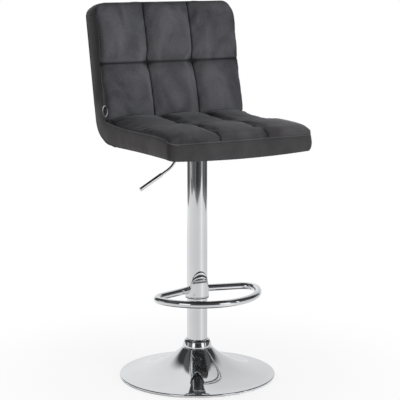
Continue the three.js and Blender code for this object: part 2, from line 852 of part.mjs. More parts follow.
const outerEnvelope = envelope(0);
const coreEnvelope = envelope(coreInset);
const pocket = () => slot(-leverPivotOut - pocketHalfWidth - earHeight, pocketHalfWidth, pocketHalfWidth);

function seatShell() {
  const board = across(skinSection(shellOuterRadius, shellInnerRadius, -seatFront), seatWidth / 2);
  const span = [shellBottom - overrun, shellTop + overrun];
  const sunk = shellTop - nutFlangeThickness - gap;
  return piece(
    "seat_shell",
    cut(
      common(board, coreEnvelope),
      upright(pocket(), ...span),
      ...boltHoles(nutBarrelRadius + gap, ...span),
      ...boltHoles(nutFlangeRadius + gap, sunk, shellTop + overrun),
    ),
    plywood(),
  );
}

function seatFoam() {
  const half = seatWidth / 2;
  const body = block(
    at(-half, -seatFront, cornerCentreHeight - foamOuterRadius),
    at(half, cornerCentreBack, seamHeight),
  );
  return piece("seat_foam", common(body, coreEnvelope), foam());
}

function backFoam() {
  return piece("back_foam", common(across(backFoamSection(), seatWidth / 2), coreEnvelope), foam());
}

// A quilted cover: pads between sewn channels, over one wide crown, with its sides drawn in.
const pillow = (share, count) => Math.abs(Math.sin(Math.PI * share * count)) ** pillowPower;
const bulge = (share) => 1 - (2 * share - 1) ** 2;
const seatQuilt = { edge: quiltEdge, pad: quiltPad, crown: quiltCrown, power: seatCrownPower };
const backQuilt = { edge: backQuiltEdge, pad: backQuiltPad, crown: backQuiltCrown, power: backCrownPower };

function quiltPoint(u, v, length, { edge, pad, crown, power }) {
  const drawn = quiltDrawIn * (1 - pillow(v, rows));
  const x = (u - 0.5) * (seatWidth - 2 * drawn);
  const pads = pad * pillow(u, columns) * pillow(v, rows);
  return [x, v * length, edge + pads + crown * bulge(u) * bulge(v ** power)];
}

function quilt(length, form) {
  const [wide, long] = [columns * stepsPerPad, rows * stepsPerPad];
  const index = (i, j) => i * (long + 1) + j;
  const points = [];
  const faces = [];
  for (let i = 0; i <= wide; i++) {
    for (let j = 0; j <= long; j++) points.push(quiltPoint(i / wide, j / long, length, form));
  }
  for (let i = 0; i < wide; i++) {
    for (let j = 0; j < long; j++) {
      faces.push(index(i, j), index(i + 1, j), index(i + 1, j + 1));
      faces.push(index(i, j), index(i + 1, j + 1), index(i, j + 1));
    }
  }
  const edge = [];
  for (let i = 0; i < wide; i++) edge.push(index(i, 0));
  for (let j = 0; j < long; j++) edge.push(index(wide, j));
  for (let i = wide; i > 0; i--) edge.push(index(i, long));
  for (let j = long; j > 0; j--) edge.push(index(0, j));
  const first = points.length;
  edge.forEach((k) => points.push([points[k][0], points[k][1], 0]));
  const middle = points.length;
  points.push([0, length / 2, 0]);
  edge.forEach((k, n) => {
    const next = (n + 1) % edge.length;
    faces.push(k, first + n, first + next, k, first + next, edge[next]);
    faces.push(first + n, middle, first + next);
  });
  const geometry = new THREE.BufferGeometry();
  geometry.setAttribute("position", new THREE.Float32BufferAttribute(points.flat(), 3));
  geometry.setIndex(faces);
  return geometry;
}

function seatCover() {
  const length = seatFront + crease.x - gap;
  const placed = quilt(length, seatQuilt).translate(0, -seatFront, seamHeight + gap);
  return piece("seat_cover", common(placed, outerEnvelope), velvet());
}

function backCover() {
  const lift = quiltLiftShare * quiltEdge + 2 * gap;
  const start = seamPoint(lift);
  const placed = quilt(seamLength - lift, backQuilt).translate(0, 0, gap).rotateX(Math.PI / 2 - seamLean);
  placed.translate(0, start.x, start.y);
  return piece("back_cover", common(placed, outerEnvelope), velvet());
}

// The boxing strip round the edge of the L, in four lengths: left, right, front and top.
function boxing() {
  const filled = across(paddedSection(shellOuterRadius), seatWidth / 2);
  const strip = toSolid(common(filled, outerEnvelope)).subtract(toSolid(envelope(bandThickness)));
  const far = reach + cornerCentreHeight;
  const frontCut = -seatFront + frontCornerRadius;
  const frontOf = (y) => toSolid(block(at(-far, -far, -far), at(far, y, far)));
  const topCut = backLength - topCornerRadius;
  const aboveBack = (t) => {
    const upper = block(at(-far, -far, t), at(far, far, far)).rotateX(-backLean);
    return toSolid(upper.translate(0, cornerCentreBack, cornerCentreHeight));
  };
  const sideOf = (from, to) => toSolid(block(at(from, -far, -far), at(to, far, far)));
  const sides = strip.subtract(frontOf(frontCut + gap)).subtract(aboveBack(topCut - gap));
  return {
    front_band: strip.intersect(frontOf(frontCut)),
    top_band: strip.intersect(aboveBack(topCut)),
    side_band_left: sides.intersect(sideOf(-far, 0)),
    side_band_right: sides.intersect(sideOf(0, far)),
  };
}

function bands() {
  return Object.entries(boxing()).map(([name, solid]) => piece(name, fromSolid(solid), velvet()));
}

function rearCover() {
  const section = skinSection(cornerRadius, cornerRadius - coverThickness, rearCoverEdge);
  return piece("rear_cover", common(across(section, seatWidth / 2), outerEnvelope), velvet());
}

function dustCover() {
  const half = seatWidth / 2 - dustCoverInset;
  const top = shellBottom - gap;
  const sheet = block(
    at(-half, -seatFront + dustCoverInset, top - dustCoverThickness),
    at(half, rearCoverEdge - gap, top),
  );
  const span = [seatUnderside - overrun, top + overrun];
  const holes = boltHoles(seatBoltRadius + gap, ...span);
  return piece("dust_cover", cut(sheet, upright(pocket(), ...span), ...holes), feltBlack());
}

function badge() {
  const outward = seatWidth / 2 + gap;
  const disk = disc(badgeRadius, outward, outward + badgeThickness).rotateY(-Math.PI / 2);
  return piece("badge", disk.translate(0, crease.x + badgeBehindCrease, crease.y + badgeAboveCrease), steel());
}

// The stool, grouped as it moves: what stands, what only turns, and what also rises.
function standing() {
  const footrest = new THREE.Group();
  footrest.add(footrestTube(), footrestCollar(), footrestLiner(), footrestSetScrew());
  const column = new THREE.Group();
  column.add(columnTube(), coverRing(), columnPlug(), guideBush());
  column.add(bearingSeat(), race("lower_race", rodRadius + clipWidth / 2, lowerRaceBottom));
  const base = new THREE.Group();
  base.add(basePlate(), edgeRing(), ballastDisc(), baseHub(), baseWasher(), baseBolt(), column, footrest);
  return base;
}

function turning() {
  const bearing = new THREE.Group();
  bearing.add(ballCage(), ...ballPlaces.map(bearingBall));
  const rod = new THREE.Group();
  rod.add(pistonRod(), pistonHead(), rodBumper(), retainingClip());
  rod.add(race("upper_race", rodRadius + gap, upperRaceBottom));
  return [bearing, rod];
}

function rising() {
  const lift = new THREE.Group();
  lift.add(gasCylinder(), cylinderSeal(), mountPlate(), taperHub(), leverBracket(), pivotPin());
  lift.add(...boltNames.map((_, i) => seatBolt(i)), ...boltNames.map((_, i) => tNut(i)));
  const seat = new THREE.Group();
  seat.add(seatShell(), seatFoam(), backFoam(), seatCover(), backCover(), ...bands());
  seat.add(rearCover(), dustCover(), badge());
  const lever = new THREE.Group();
  lever.add(releaseLever(), leverGrip());
  return [lift, seat, lever, releasePin()];
}

const stool = new THREE.Group();
stool.add(standing(), ...turning(), ...rising());

export default stool;
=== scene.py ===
"""A quilted velvet bar stool on a chrome trumpet base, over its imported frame. Metres, +Z up, front towards -Y."""

from math import atan2, cos, degrees, exp, pi, radians, sin, sqrt, tan

import bmesh
import bpy
import numpy as np
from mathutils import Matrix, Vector, noise


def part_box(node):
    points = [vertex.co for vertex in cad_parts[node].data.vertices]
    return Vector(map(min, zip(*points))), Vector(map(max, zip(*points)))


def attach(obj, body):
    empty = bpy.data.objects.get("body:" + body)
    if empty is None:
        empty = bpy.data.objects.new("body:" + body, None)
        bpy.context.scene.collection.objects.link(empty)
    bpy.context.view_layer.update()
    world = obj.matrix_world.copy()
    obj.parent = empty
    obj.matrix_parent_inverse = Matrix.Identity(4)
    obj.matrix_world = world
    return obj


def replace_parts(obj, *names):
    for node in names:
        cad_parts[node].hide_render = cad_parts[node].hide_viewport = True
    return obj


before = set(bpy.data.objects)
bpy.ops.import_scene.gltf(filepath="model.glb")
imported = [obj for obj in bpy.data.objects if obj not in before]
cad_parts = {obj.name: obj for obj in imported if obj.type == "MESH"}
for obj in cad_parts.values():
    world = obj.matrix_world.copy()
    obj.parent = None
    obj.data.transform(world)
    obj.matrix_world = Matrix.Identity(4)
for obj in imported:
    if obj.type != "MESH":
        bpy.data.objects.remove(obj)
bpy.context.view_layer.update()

# The seat's L-shaped section, as the part's source has it
SEAT_HALF = 0.19
SEAT_FRONT = -0.213
SEAT_UNDERSIDE = 0.577
CORNER = Vector((0.097, 0.645))  # centre of the round between seat and back, in Y and Z
CORNER_RADIUS = 0.068
BACK_LEAN = radians(10.8)
SEAM_LEAN = radians(8.3)
BACK_LENGTH = 0.276
CREASE = Vector((0.1119, 0.627))
SEAM_LENGTH = 0.2912
TOP_ROUND = 0.026
FRONT_ROUND = 0.015
HEM_START = 0.073  # where the rear panel's edge lies under the seat

# Where the pads' outer seam runs on each side of the seat and back, in Y and Z, read off the photo
SIDE_SEAM = [
    (-0.213, 0.613), (-0.206, 0.6154), (-0.186, 0.6196), (-0.165, 0.623), (-0.145, 0.6245),
    (-0.092, 0.6243), (-0.03, 0.6243), (0.027, 0.6255), (0.079, 0.6284), (0.1, 0.6305),
    (0.112, 0.634), (0.118, 0.641), (0.1215, 0.652), (0.1255, 0.672), (0.131, 0.7),
    (0.137, 0.74), (0.142, 0.78), (0.1465, 0.82), (0.152, 0.86), (0.1585, 0.895),
    (0.1635, 0.914),
]
SIDE_SEAM_TURN = 11  # the point of that list where the seat's pads hand over to the back's
MIDDLE_CREASE = (0.101, 0.6295)
# The level of the sewn lines between the pads: its height over the seat, and how far it is before the back's plane
SEAT_LEVEL = [
    (-0.213, 0.619), (-0.205, 0.6245), (-0.185, 0.6295), (-0.13, 0.6338), (-0.056, 0.6345),
    (0.04, 0.6345), (0.08, 0.6335), MIDDLE_CREASE,
]
BACK_LEVEL = [
    (0.0009, 0.0111), (0.02, 0.0115), (0.06, 0.009), (0.11, 0.002), (0.146, -0.0025),
    (0.19, -0.003), (0.24, -0.006), (0.275, -0.0095), (0.292, -0.011),
]
PAD_EDGES = (-SEAT_HALF, -0.0633, 0.0633, SEAT_HALF)
CROSS_SEAM = -0.085
BACK_CROSS = 0.1455
SHOULDER = 0.026  # how far in from its outer seam a pad reaches its full level
CROSSING_DIP = 0.0055
CROSSING_REACH = 0.02


# ---- numbers -------------------------------------------------------------------------------------------------------
def rise(share):
    """A quarter circle's rise, from 0 at 0 to 1 at 1 and beyond."""
    share = np.clip(share, 0, 1)
    return np.sqrt(1 - (1 - share) ** 2)


def ease(share):
    """0 up to 0 and 1 from 1 on, with a smooth change between."""
    share = np.clip(share, 0, 1)
    return share * share * (3 - 2 * share)


def bulge(share):
    """0 at 0 and 1, and 1 halfway."""
    return 1 - (2 * share - 1) ** 2


def lobe(distance, reach):
    """1 at no distance, falling off as a bell of that reach."""
    return np.exp(-((distance / reach) ** 2))


def spline(points, steps):
    """A smooth line through the points, with that many steps between each two."""
    p = np.array(points, float)
    p = np.vstack([2 * p[0] - p[1], p, 2 * p[-1] - p[-2]])
    out = []
    for i in range(1, len(p) - 2):
        for t in np.arange(steps) / steps:
            a, b, c, d = p[i - 1 : i + 3]
            curve = (2 * a - 5 * b + 4 * c - d) * t**2 + (3 * b - a - 3 * c + d) * t**3
            out.append(0.5 * (2 * b + (c - a) * t + curve))
    out.append(p[-2])
    return np.array(out)


def lengths_of(line):
    """How far along a line each of its points is."""
    return np.r_[0, np.cumsum(np.linalg.norm(np.diff(line, axis=0), axis=1))]


def along(line, count, ends=None):
    """Points evenly spaced along a line, or between two places on it, counted in its points."""
    line = np.array(line, float)
    lengths = lengths_of(line)
    first, last = np.interp(ends, np.arange(len(line)), lengths) if ends else (0, lengths[-1])
    want = np.linspace(first, last, count)
    return np.stack([np.interp(want, lengths, column) for column in line.T], axis=1)


def directions(path, closed=False):
    """The way a path runs at each of its points."""
    path = np.array(path, float)
    steps = np.roll(path, -1, 0) - np.roll(path, 1, 0) if closed else np.gradient(path, axis=0)
    return [Vector(step).normalized() for step in steps]


def corner_curve(before, here, after, reach, steps):
    """A smooth turn at a corner, that reaches so far along both its sides."""
    start, end = (here + (other - here).normalized() * reach for other in (before, after))
    return [start.lerp(here, t).lerp(here.lerp(end, t), t) for t in np.linspace(0, 1, steps)]


def back_point(up):
    """A point of the L's outer line, so far up along the back from the round's centre."""
    return (
        CORNER.x + CORNER_RADIUS * cos(BACK_LEAN) + up * sin(BACK_LEAN),
        CORNER.y - CORNER_RADIUS * sin(BACK_LEAN) + up * cos(BACK_LEAN),
    )


def plane_point(up, forward):
    """A point over the plane of the back's front seams, in Y and Z."""
    return (
        CREASE.x + up * sin(SEAM_LEAN) - forward * cos(SEAM_LEAN),
        CREASE.y + up * cos(SEAM_LEAN) + forward * sin(SEAM_LEAN),
    )


def plane_place(y, z):
    """The reverse: how far up the back's seam plane, and how far in front of it."""
    dy, dz = y - CREASE.x, z - CREASE.y
    return dy * sin(SEAM_LEAN) + dz * cos(SEAM_LEAN), -dy * cos(SEAM_LEAN) + dz * sin(SEAM_LEAN)


seam_line = spline(SIDE_SEAM, 10)
seat_seam = seam_line[: SIDE_SEAM_TURN * 10 + 1]
back_seam = np.array([plane_place(y, z) for y, z in seam_line[SIDE_SEAM_TURN * 10 :]])
seat_level = spline(SEAT_LEVEL, 8)
back_level = spline(BACK_LEVEL, 8)
SEAT_ROWS = (SEAT_FRONT, CROSS_SEAM, MIDDLE_CREASE[0])
BACK_ROWS = (plane_place(*MIDDLE_CREASE)[0], BACK_CROSS, SEAM_LENGTH)


def level(line, place):
    points = np.array(line)
    return np.interp(place, points[:, 0], points[:, 1])


def wobble(x, y, z, size):
    """Smooth seeded noise from -1 to 1 at a point."""
    return noise.noise(Vector((x / size, y / size, z / size)))


# ---- meshes --------------------------------------------------------------------------------------------------------
def mesh_of(name, points, faces, merge=0):
    """A mesh with its faces turned outwards, and the points that lie within the merge distance made one."""
    mesh = bpy.data.meshes.new(name)
    mesh.from_pydata([tuple(map(float, p)) for p in points], [], faces)
    work = bmesh.new()
    work.from_mesh(mesh)
    if merge:
        bmesh.ops.remove_doubles(work, verts=work.verts, dist=merge)
    bmesh.ops.recalc_face_normals(work, faces=work.faces)
    work.to_mesh(mesh)
    work.free()
    return mesh


def placed(name, data):
    made = bpy.data.objects.new(name, data)
    bpy.context.scene.collection.objects.link(made)
    return made


def piece(name, points, faces, body, slot, material=None, merge=1e-7):
    """A piece of the stool on one of its bodies. Its material is the slot's own, unless another is given."""
    mesh = mesh_of(name, points, faces, merge)
    mesh.shade_smooth()
    mesh.materials.append(material or SLOT_LOOKS[slot])
    made = placed(name, mesh)
    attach(made, body)
    return made


def thickened(made, thickness, offset):
    """Gives a piece of cloth its thickness, behind its surface, before it or on both sides."""
    wall = made.modifiers.new("cloth_thickness", "SOLIDIFY")
    wall.thickness, wall.offset = thickness, offset


def grid_faces(rows, columns, closed_rows=False, closed_columns=False):
    """The faces between rows of points, which may close into a ring either way."""
    faces = []
    for i in range(rows - (not closed_rows)):
        for j in range(columns - (not closed_columns)):
            i2, j2 = (i + 1) % rows, (j + 1) % columns
            faces.append([a * columns + b for a, b in ((i, j), (i2, j), (i2, j2), (i, j2))])
    return faces


def softened(outline, radius):
    """A closed outline with its sharp corners rounded and a support point on each side of the rounding."""
    corners = [Vector(point) for point in outline]
    out = []
    for before, here, after in zip(corners[-1:] + corners, corners, corners[1:] + corners[:1]):
        back, ahead = before - here, after - here
        turn = pi - back.angle(ahead) if back.length and ahead.length else 0
        if turn < radians(20):
            out.append(tuple(here))
            continue
        reach = min(radius, 0.3 * back.length, 0.3 * ahead.length)
        first, last = (here + side.normalized() * reach * 1.5 for side in (back, ahead))
        out += [tuple(p) for p in [first, *corner_curve(before, here, after, reach, 5), last]]
    return out


def lathe(name, outline, sides, body, slot, rounding):
    """A closed outline of [radius, height] points turned about the stool's axis."""
    outline = softened(outline, rounding) if rounding else outline
    points = [(r * cos(a), r * sin(a), z) for a in np.arange(sides) * 2 * pi / sides for r, z in outline]
    return piece(name, points, grid_faces(sides, len(outline), closed_rows=True, closed_columns=True), body, slot)


def turned(centre, axis, outline, sides):
    """Points and faces of a line of [radius, height] points turned about an axis. Radii may change with the angle."""
    axis = Vector(axis).normalized()
    first = axis.orthogonal().normalized()
    second = axis.cross(first)
    points = []
    for a in np.arange(sides) * 2 * pi / sides:
        out = first * cos(a) + second * sin(a)
        points += [Vector(centre) + axis * h + out * (r(a) if callable(r) else r) for r, h in outline]
    return points, grid_faces(sides, len(outline), closed_rows=True)


def tube(path, radius, sides, closed=False):
    """Points and faces of a round bar along a path. The radius may be one number or one for each point."""
    count = len(path)
    tangents = directions(path, closed)
    normal = tangents[0].orthogonal()
    points = []
    for centre, tangent, r in zip(path, tangents, np.broadcast_to(radius, count)):
        normal = (normal - tangent * normal.dot(tangent)).normalized()
        side = tangent.cross(normal)
        for a in np.arange(sides) * 2 * pi / sides:
            points.append(Vector(centre) + (normal * cos(a) + side * sin(a)) * float(r))
    faces = grid_faces(count, sides, closed_rows=closed, closed_columns=True)
    if not closed:
        faces += [list(range(sides))[::-1], [(count - 1) * sides + k for k in range(sides)]]
    return points, faces


def merged(parts):
    """Several (points, faces) as one."""
    points, faces = [], []
    for some_points, some_faces in parts:
        first = len(points)
        points += [tuple(p) for p in some_points]
        faces += [[first + k for k in face] for face in some_faces]
    return points, faces


# ---- materials -----------------------------------------------------------------------------------------------------
def feed(tree, made, inputs):
    """Sets the inputs of a node, by number or by name, to a value or to what another node gives."""
    for key, value in inputs.items():
        socket = made.inputs[key.replace("_", " ") if isinstance(key, str) else key]
        if isinstance(value, bpy.types.NodeSocket):
            tree.links.new(value, socket)
        else:
            socket.default_value = value


def add_node(tree, kind, output, *inputs, **named):
    """A new node with its inputs, and its settings by their lower-case names. Returns one of its outputs."""
    made = tree.nodes.new(kind)
    for name in filter(str.islower, list(named)):
        setattr(made, name, named.pop(name))
    feed(tree, made, dict(enumerate(inputs)) | named)
    return None if output is None else made.outputs[output]


def ramp(tree, factor, stops, interpolation="LINEAR"):
    """The colour that a list of places and colours gives for a factor."""
    made = tree.nodes.new("ShaderNodeValToRGB")
    made.color_ramp.interpolation = interpolation
    places = made.color_ramp.elements
    while len(places) < len(stops):
        places.new(0.5)
    for stop, (place, colour) in zip(places, stops):
        stop.position, stop.color = place, colour
    tree.links.new(factor, made.inputs["Fac"])
    return made.outputs["Color"]


def principled(made, **inputs):
    feed(made.node_tree, made.node_tree.nodes["Principled BSDF"], inputs)


def shader(name, roughness, **constants):
    made = bpy.data.materials.new(name)
    made.use_nodes = True
    principled(made, Roughness=roughness, **constants)
    return made


def noise_of(made, scale, detail=3, distortion=0, stretch=(1, 1, 1)):
    """The factor of a noise texture in the piece's own space."""
    tree = made.node_tree
    place = add_node(tree, "ShaderNodeTexCoord", "Object")
    place = add_node(tree, "ShaderNodeMapping", "Vector", Vector=place, Scale=stretch)
    return add_node(
        tree, "ShaderNodeTexNoise", "Fac", Vector=place, Scale=scale, Detail=detail, Distortion=distortion
    )


def coloured(made, dark, light, factor, low=0.3, high=0.7):
    """The base colour, from dark to light with the factor."""
    colour = ramp(made.node_tree, factor, [(low, (*dark, 1)), (high, (*light, 1))])
    principled(made, Base_Color=colour)
    return colour


def bumped(made, factor, strength, distance):
    principled(made, Normal=add_node(
        made.node_tree, "ShaderNodeBump", "Normal", Strength=strength, Distance=distance, Height=factor
    ))


def material(name, roughness, dark, light, grain, gloss=None, relief=None, **constants):
    """A surface whose colour varies with one noise, and its roughness or its relief with another."""
    made = shader(name, roughness, **constants)
    coloured(made, dark, light, noise_of(made, *grain))
    if gloss:
        low, high, *pattern = gloss
        principled(made, Roughness=add_node(
            made.node_tree, "ShaderNodeMapRange", "Result",
            Value=noise_of(made, *pattern), From_Min=0.3, From_Max=0.7, To_Min=low, To_Max=high,
        ))
    if relief:
        strength, distance, *pattern = relief
        bumped(made, noise_of(made, *pattern), strength, distance)
    return made


def velvet_of(name, dark, light):
    """Short pile: brushed patches, a fine nap and a soft sheen, with painted shade and painted light scaling its
    colour.
    """
    made = shader(
        name, 0.92, Specular_IOR_Level=0.12, Sheen_Weight=0.16, Sheen_Roughness=0.42,
        Sheen_Tint=(0.7, 0.72, 0.78, 1),
    )
    tree = made.node_tree
    mixed = lambda first, second, share: add_node(tree, "ShaderNodeMix", "Result", Factor=share, A=first, B=second)
    nap = noise_of(made, 420)
    pile = coloured(made, dark, light, mixed(noise_of(made, 11, 4, 1.4, (1, 1, 0.6)), nap, 0.35), 0.34, 0.66)
    # Per-point attribute of painted shade (below 0) and painted light (above 0), which scales the base colour
    painted_light = add_node(tree, "ShaderNodeAttribute", "Fac", attribute_name="painted_light")
    principled(made, Base_Color=add_node(
        tree, "ShaderNodeVectorMath", "Vector", pile, painted_light, pile, operation="MULTIPLY_ADD"
    ))
    bumped(made, mixed(noise_of(made, 900, 2), nap, 0.5), 0.35, 0.0006)
    return made


chrome = material(
    "chrome", 0.025, (0.8, 0.81, 0.825), (0.86, 0.87, 0.88), (9, 2),
    gloss=(0.025, 0.06, 26, 4, 0.6, (1, 1, 0.35)), Metallic=1,
)
steel = material(
    "zinc_steel", 0.35, (0.5, 0.51, 0.52), (0.66, 0.66, 0.64), (140,), gloss=(0.28, 0.48, 60), Metallic=1
)
badge_metal = material(
    "satin_disc", 0.3, (0.6, 0.6, 0.61), (0.72, 0.72, 0.73), (300, 2), gloss=(0.22, 0.36, 500), Metallic=1
)
badge_dark = material("darkened_disc", 0.45, (0.02, 0.02, 0.022), (0.045, 0.045, 0.05), (420,), Metallic=0.6)
black_steel = material(
    "black_powder_coat", 0.5, (0.012, 0.012, 0.013), (0.03, 0.03, 0.032), (35,), relief=(0.4, 0.0004, 1400, 2)
)
black_plastic = material(
    "black_plastic", 0.38, (0.012, 0.012, 0.013), (0.024, 0.024, 0.026), (60,), gloss=(0.25, 0.42, 90)
)
pale_plastic = material(
    "pale_edge_strip", 0.5, (0.5, 0.51, 0.52), (0.62, 0.63, 0.64), (40,), relief=(0.2, 0.0003, 700)
)
rubber = material("rubber", 0.85, (0.014, 0.014, 0.014), (0.03, 0.03, 0.03), (160,))
plywood = material(
    "bent_plywood", 0.7, (0.36, 0.22, 0.11), (0.56, 0.38, 0.21), (30, 5, 0.5, (4, 0.6, 9)),
    relief=(0.3, 0.0004, 240, 4, 0.2, (6, 0.4, 6)),
)
foam = material("cut_foam", 0.95, (0.55, 0.49, 0.34), (0.78, 0.73, 0.58), (500, 4))
felt = material(
    "dust_cloth", 0.95, (0.008, 0.008, 0.009), (0.026, 0.026, 0.028), (800, 4), relief=(0.5, 0.0004, 1100)
)
thread = material("seam_thread", 0.8, (0.016, 0.016, 0.018), (0.032, 0.032, 0.035), (900, 2), Sheen_Weight=0.3)
# The same velvet in three tones: the seat's and the boxing's copies are painted warmer and less bright than the
# back's, as painted shade
velvet = velvet_of("velvet_back", (0.044, 0.044, 0.049), (0.102, 0.102, 0.11))
velvet_seat = velvet_of("velvet_seat", (0.044, 0.042, 0.044), (0.09, 0.087, 0.09))
velvet_side = velvet_of("velvet_boxing", (0.052, 0.05, 0.051), (0.08, 0.077, 0.079))

SLOT_LOOKS = dict(
    chrome=chrome, steel=steel, black_steel=black_steel, black_plastic=black_plastic, pale_plastic=pale_plastic,
    velvet=velvet_side, dust_felt=felt, badge_metal=badge_metal,
)
# The solids that show as they are, by the start of their names
NODE_LOOKS = (
    (steel, "base_washer base_bolt column_plug bearing_seat lower_race upper_race piston_rod retaining_clip "
            "release_pin lever_pivot_pin footrest_set_screw seat_bolt t_nut bearing_ball"),
    (black_steel, "ballast_disc base_hub mount_plate lever_bracket"),
    (black_plastic, "ball_cage piston_head cylinder_seal"),
    (rubber, "rod_bumper"),
    (plywood, "seat_shell"),
    (foam, "seat_foam back_foam"),
)
for look, starts in NODE_LOOKS:
    for name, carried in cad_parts.items():
        if name.startswith(tuple(starts.split())):
            carried.data.materials.clear()
            carried.data.materials.append(look)


# ---- base, column and lift: the outlines of the turned pieces, from each node's radius, foot and top ---------------
COLUMN_BORE = 0.0253  # just clear of the column


def trumpet(outer, bottom, top):
    """Pressed sheet: a rolled rim, the flare up to the neck and the same again from below."""
    sheet, lip, neck, roll = 0.002, 0.0078, 0.0365, 0.0027
    shares = np.linspace(0, 1, 60)
    radii = (outer - roll) + (neck - outer + roll) * shares
    heights = lip + (top - lip) * (0.915 * shares**1.75 + 0.085 * shares**12)
    flare = list(zip(radii, heights))
    edge = [(outer - roll * (1 - cos(a)), lip - roll * (1 - sin(a))) for a in np.linspace(0, pi / 2, 9)[:-1]]
    under = [(r, z - sheet) for r, z in flare[:0:-1]]
    inside = [(outer - sheet, lip - sheet), (outer - sheet, bottom)]
    return [(outer, bottom), *edge, *flare, (COLUMN_BORE, top), (COLUMN_BORE, top - sheet), *under, *inside]


def edge_strip(outer, bottom, top):
    inner, bevel = outer - 0.014, 0.001
    return [(inner, 0), (outer - bevel, 0), (outer, bevel), (outer, top), (inner, top)]


def column(outer, bottom, top):
    inner = outer - 0.002
    return [(inner, bottom), (outer, bottom), (outer, top), (inner, top)]


def cover_ring(outer, bottom, top):
    crown = [
        (outer - 0.0012, bottom), (outer - 0.0002, bottom + 0.0012), (outer, bottom + 0.004),
        (outer - 0.0011, bottom + 0.01), (outer - 0.0026, bottom + 0.0155), (outer - 0.0048, bottom + 0.0187),
        (outer - 0.0075, top - 0.0002), (COLUMN_BORE + 0.0006, top),
    ]
    return [(COLUMN_BORE, bottom), *map(tuple, spline(crown, 6)), (COLUMN_BORE, top - 0.0006)]


def guide_bush(outer, bottom, top):
    bore, inside, lip = 0.0143, 0.0227, 0.003
    return [(bore, bottom), (inside, bottom), (inside, top - lip), (outer, top - lip), (outer, top), (bore, top)]


def lift_cylinder(outer, bottom, top):
    inner, taper, drop, valve, valve_floor, roof = 0.012, 0.02, 0.0012, 0.0033, 0.549, top - 0.034
    return [
        (inner, bottom), (outer, bottom), (outer, top - taper), (outer - drop, top), (valve, top),
        (valve, valve_floor), (0, valve_floor), (0, roof), (inner, roof),
    ]


def taper_socket(outer, bottom, top):
    return [(0.0143, bottom), (outer, bottom), (outer, top), (0.0131, top), (0.0131, 0.569)]


for name, replaced, outline_of, sides, body, slot, rounding in (
    ("trumpet_base", "base_plate", trumpet, 192, "base", "chrome", 0.0011),
    ("base_edge_strip", "base_edge_ring", edge_strip, 160, "base", "pale_plastic", 0.0005),
    ("column", "column_tube", column, 128, "base", "chrome", 0.0007),
    ("column_cover", "column_cover_ring", cover_ring, 128, "base", "chrome", 0),
    ("column_bush", "guide_bush", guide_bush, 96, "base", "black_plastic", 0.0009),
    ("lift_cylinder", "gas_cylinder", lift_cylinder, 96, "seat", "chrome", 0.0006),
    ("taper_socket", "taper_hub", taper_socket, 96, "seat", "black_steel", 0.0012),
):
    low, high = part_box(replaced)
    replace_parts(lathe(name, outline_of(high.x, low.z, high.z), sides, body, slot, rounding), replaced)


# ---- footrest ------------------------------------------------------------------------------------------------------
FOOTREST_HEIGHT = 0.2175
FOOTREST_RADIUS = 0.0088
ARM_SLOPE = radians(16)  # how far the arms run back from straight sideways
ARM_START = 0.013  # the Y at which their lines meet
COLLAR_RADIUS = 0.0288
COLLAR_BOTTOM = 0.199
COLLAR_SIDE = 0.222
SHELL_TIP = 0.2562
LINER_TIP = 0.2685


def footrest_line():
    """The D in plan, from one end at the collar round the front to the other."""
    front_radius, forward, bend = 0.141, 0.016, 0.034
    out = Vector((cos(ARM_SLOPE), -sin(ARM_SLOPE)))
    ahead = Vector((out.y, -out.x))
    front = Vector((0, -forward))
    start = Vector((0, ARM_START)) + ahead * bend
    to_start = start - front
    run = to_start.dot(out)
    centre = start + out * (sqrt(run**2 - to_start.length_squared + (front_radius - bend) ** 2) - run)
    meet = atan2(centre.y - front.y, centre.x)
    end = COLLAR_RADIUS * 0.9
    half = [(end, ARM_START - end * tan(ARM_SLOPE))]
    half += [(centre.x + bend * cos(a), centre.y + bend * sin(a)) for a in np.linspace(pi / 2 - ARM_SLOPE, meet, 18)]
    half += [(front_radius * cos(a), front.y + front_radius * sin(a)) for a in np.linspace(meet, -pi / 2, 60)]
    return along(half + [(-x, y) for x, y in reversed(half[:-1])], 260)


def footrest():
    bar = piece(
        "footrest_bar", *tube([(x, y, FOOTREST_HEIGHT) for x, y in footrest_line()], FOOTREST_RADIUS, 36),
        "base", "chrome",
    )
    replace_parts(bar, "footrest_tube")
    beads, ring = [], FOOTREST_RADIUS + 0.0006
    for side in (-1, 1):
        path = []
        for a in np.linspace(radians(66), radians(294), 41):
            y = ARM_START - 0.024 * tan(ARM_SLOPE) + ring * sin(a) / cos(ARM_SLOPE)
            x = sqrt(max(COLLAR_RADIUS**2 - y * y, 0)) + 0.0003
            path.append((side * x, y, FOOTREST_HEIGHT + ring * cos(a)))
        beads.append(tube(path, [0.0012 + 0.0003 * sin(k * 2.4) for k in range(len(path))], 10))
    piece("footrest_welds", *merged(beads), "base", "chrome")


def arch(a, tip):
    """The collar's upper edge at an angle from the front: a rounded tongue, turned 12 degrees, flared at its foot."""
    off = abs((degrees(a) + 192) % 360 - 180)
    tongue = sqrt(max(0.0, 1 - (off / 55) ** 2))
    foot = 0.26 * exp(-max(0.0, off - 46) / 16)
    return COLLAR_SIDE + (tip - COLLAR_SIDE) * min(1.0, (tongue**4 + foot**4) ** 0.25)


def sleeve(name, inner, outer, bottom, top, edge, slot):
    """A sleeve round the column with rounded edges. Its lower and upper heights may change with the angle."""
    middle, half = (inner + outer) / 2, (outer - inner) / 2
    round_over = np.linspace(0.3, 2.84, 7)
    points, sides = [], 240
    for a in np.arange(sides) * 2 * pi / sides:
        low, high = (h(a) if callable(h) else h for h in (bottom, top))
        wall = [low + edge + (high - low - 2 * edge) * t for t in np.linspace(0, 1, 12)]
        section = [(outer, z) for z in wall]
        section += [(middle + half * cos(b), high - edge + edge * sin(b)) for b in round_over]
        section += [(inner, z) for z in wall[::-1]]
        section += [(middle - half * cos(b), low + edge - edge * sin(b)) for b in round_over]
        points += [(r * sin(a), -r * cos(a), z) for r, z in section]
    return piece(name, points, grid_faces(sides, len(section), closed_rows=True, closed_columns=True), "base", slot)


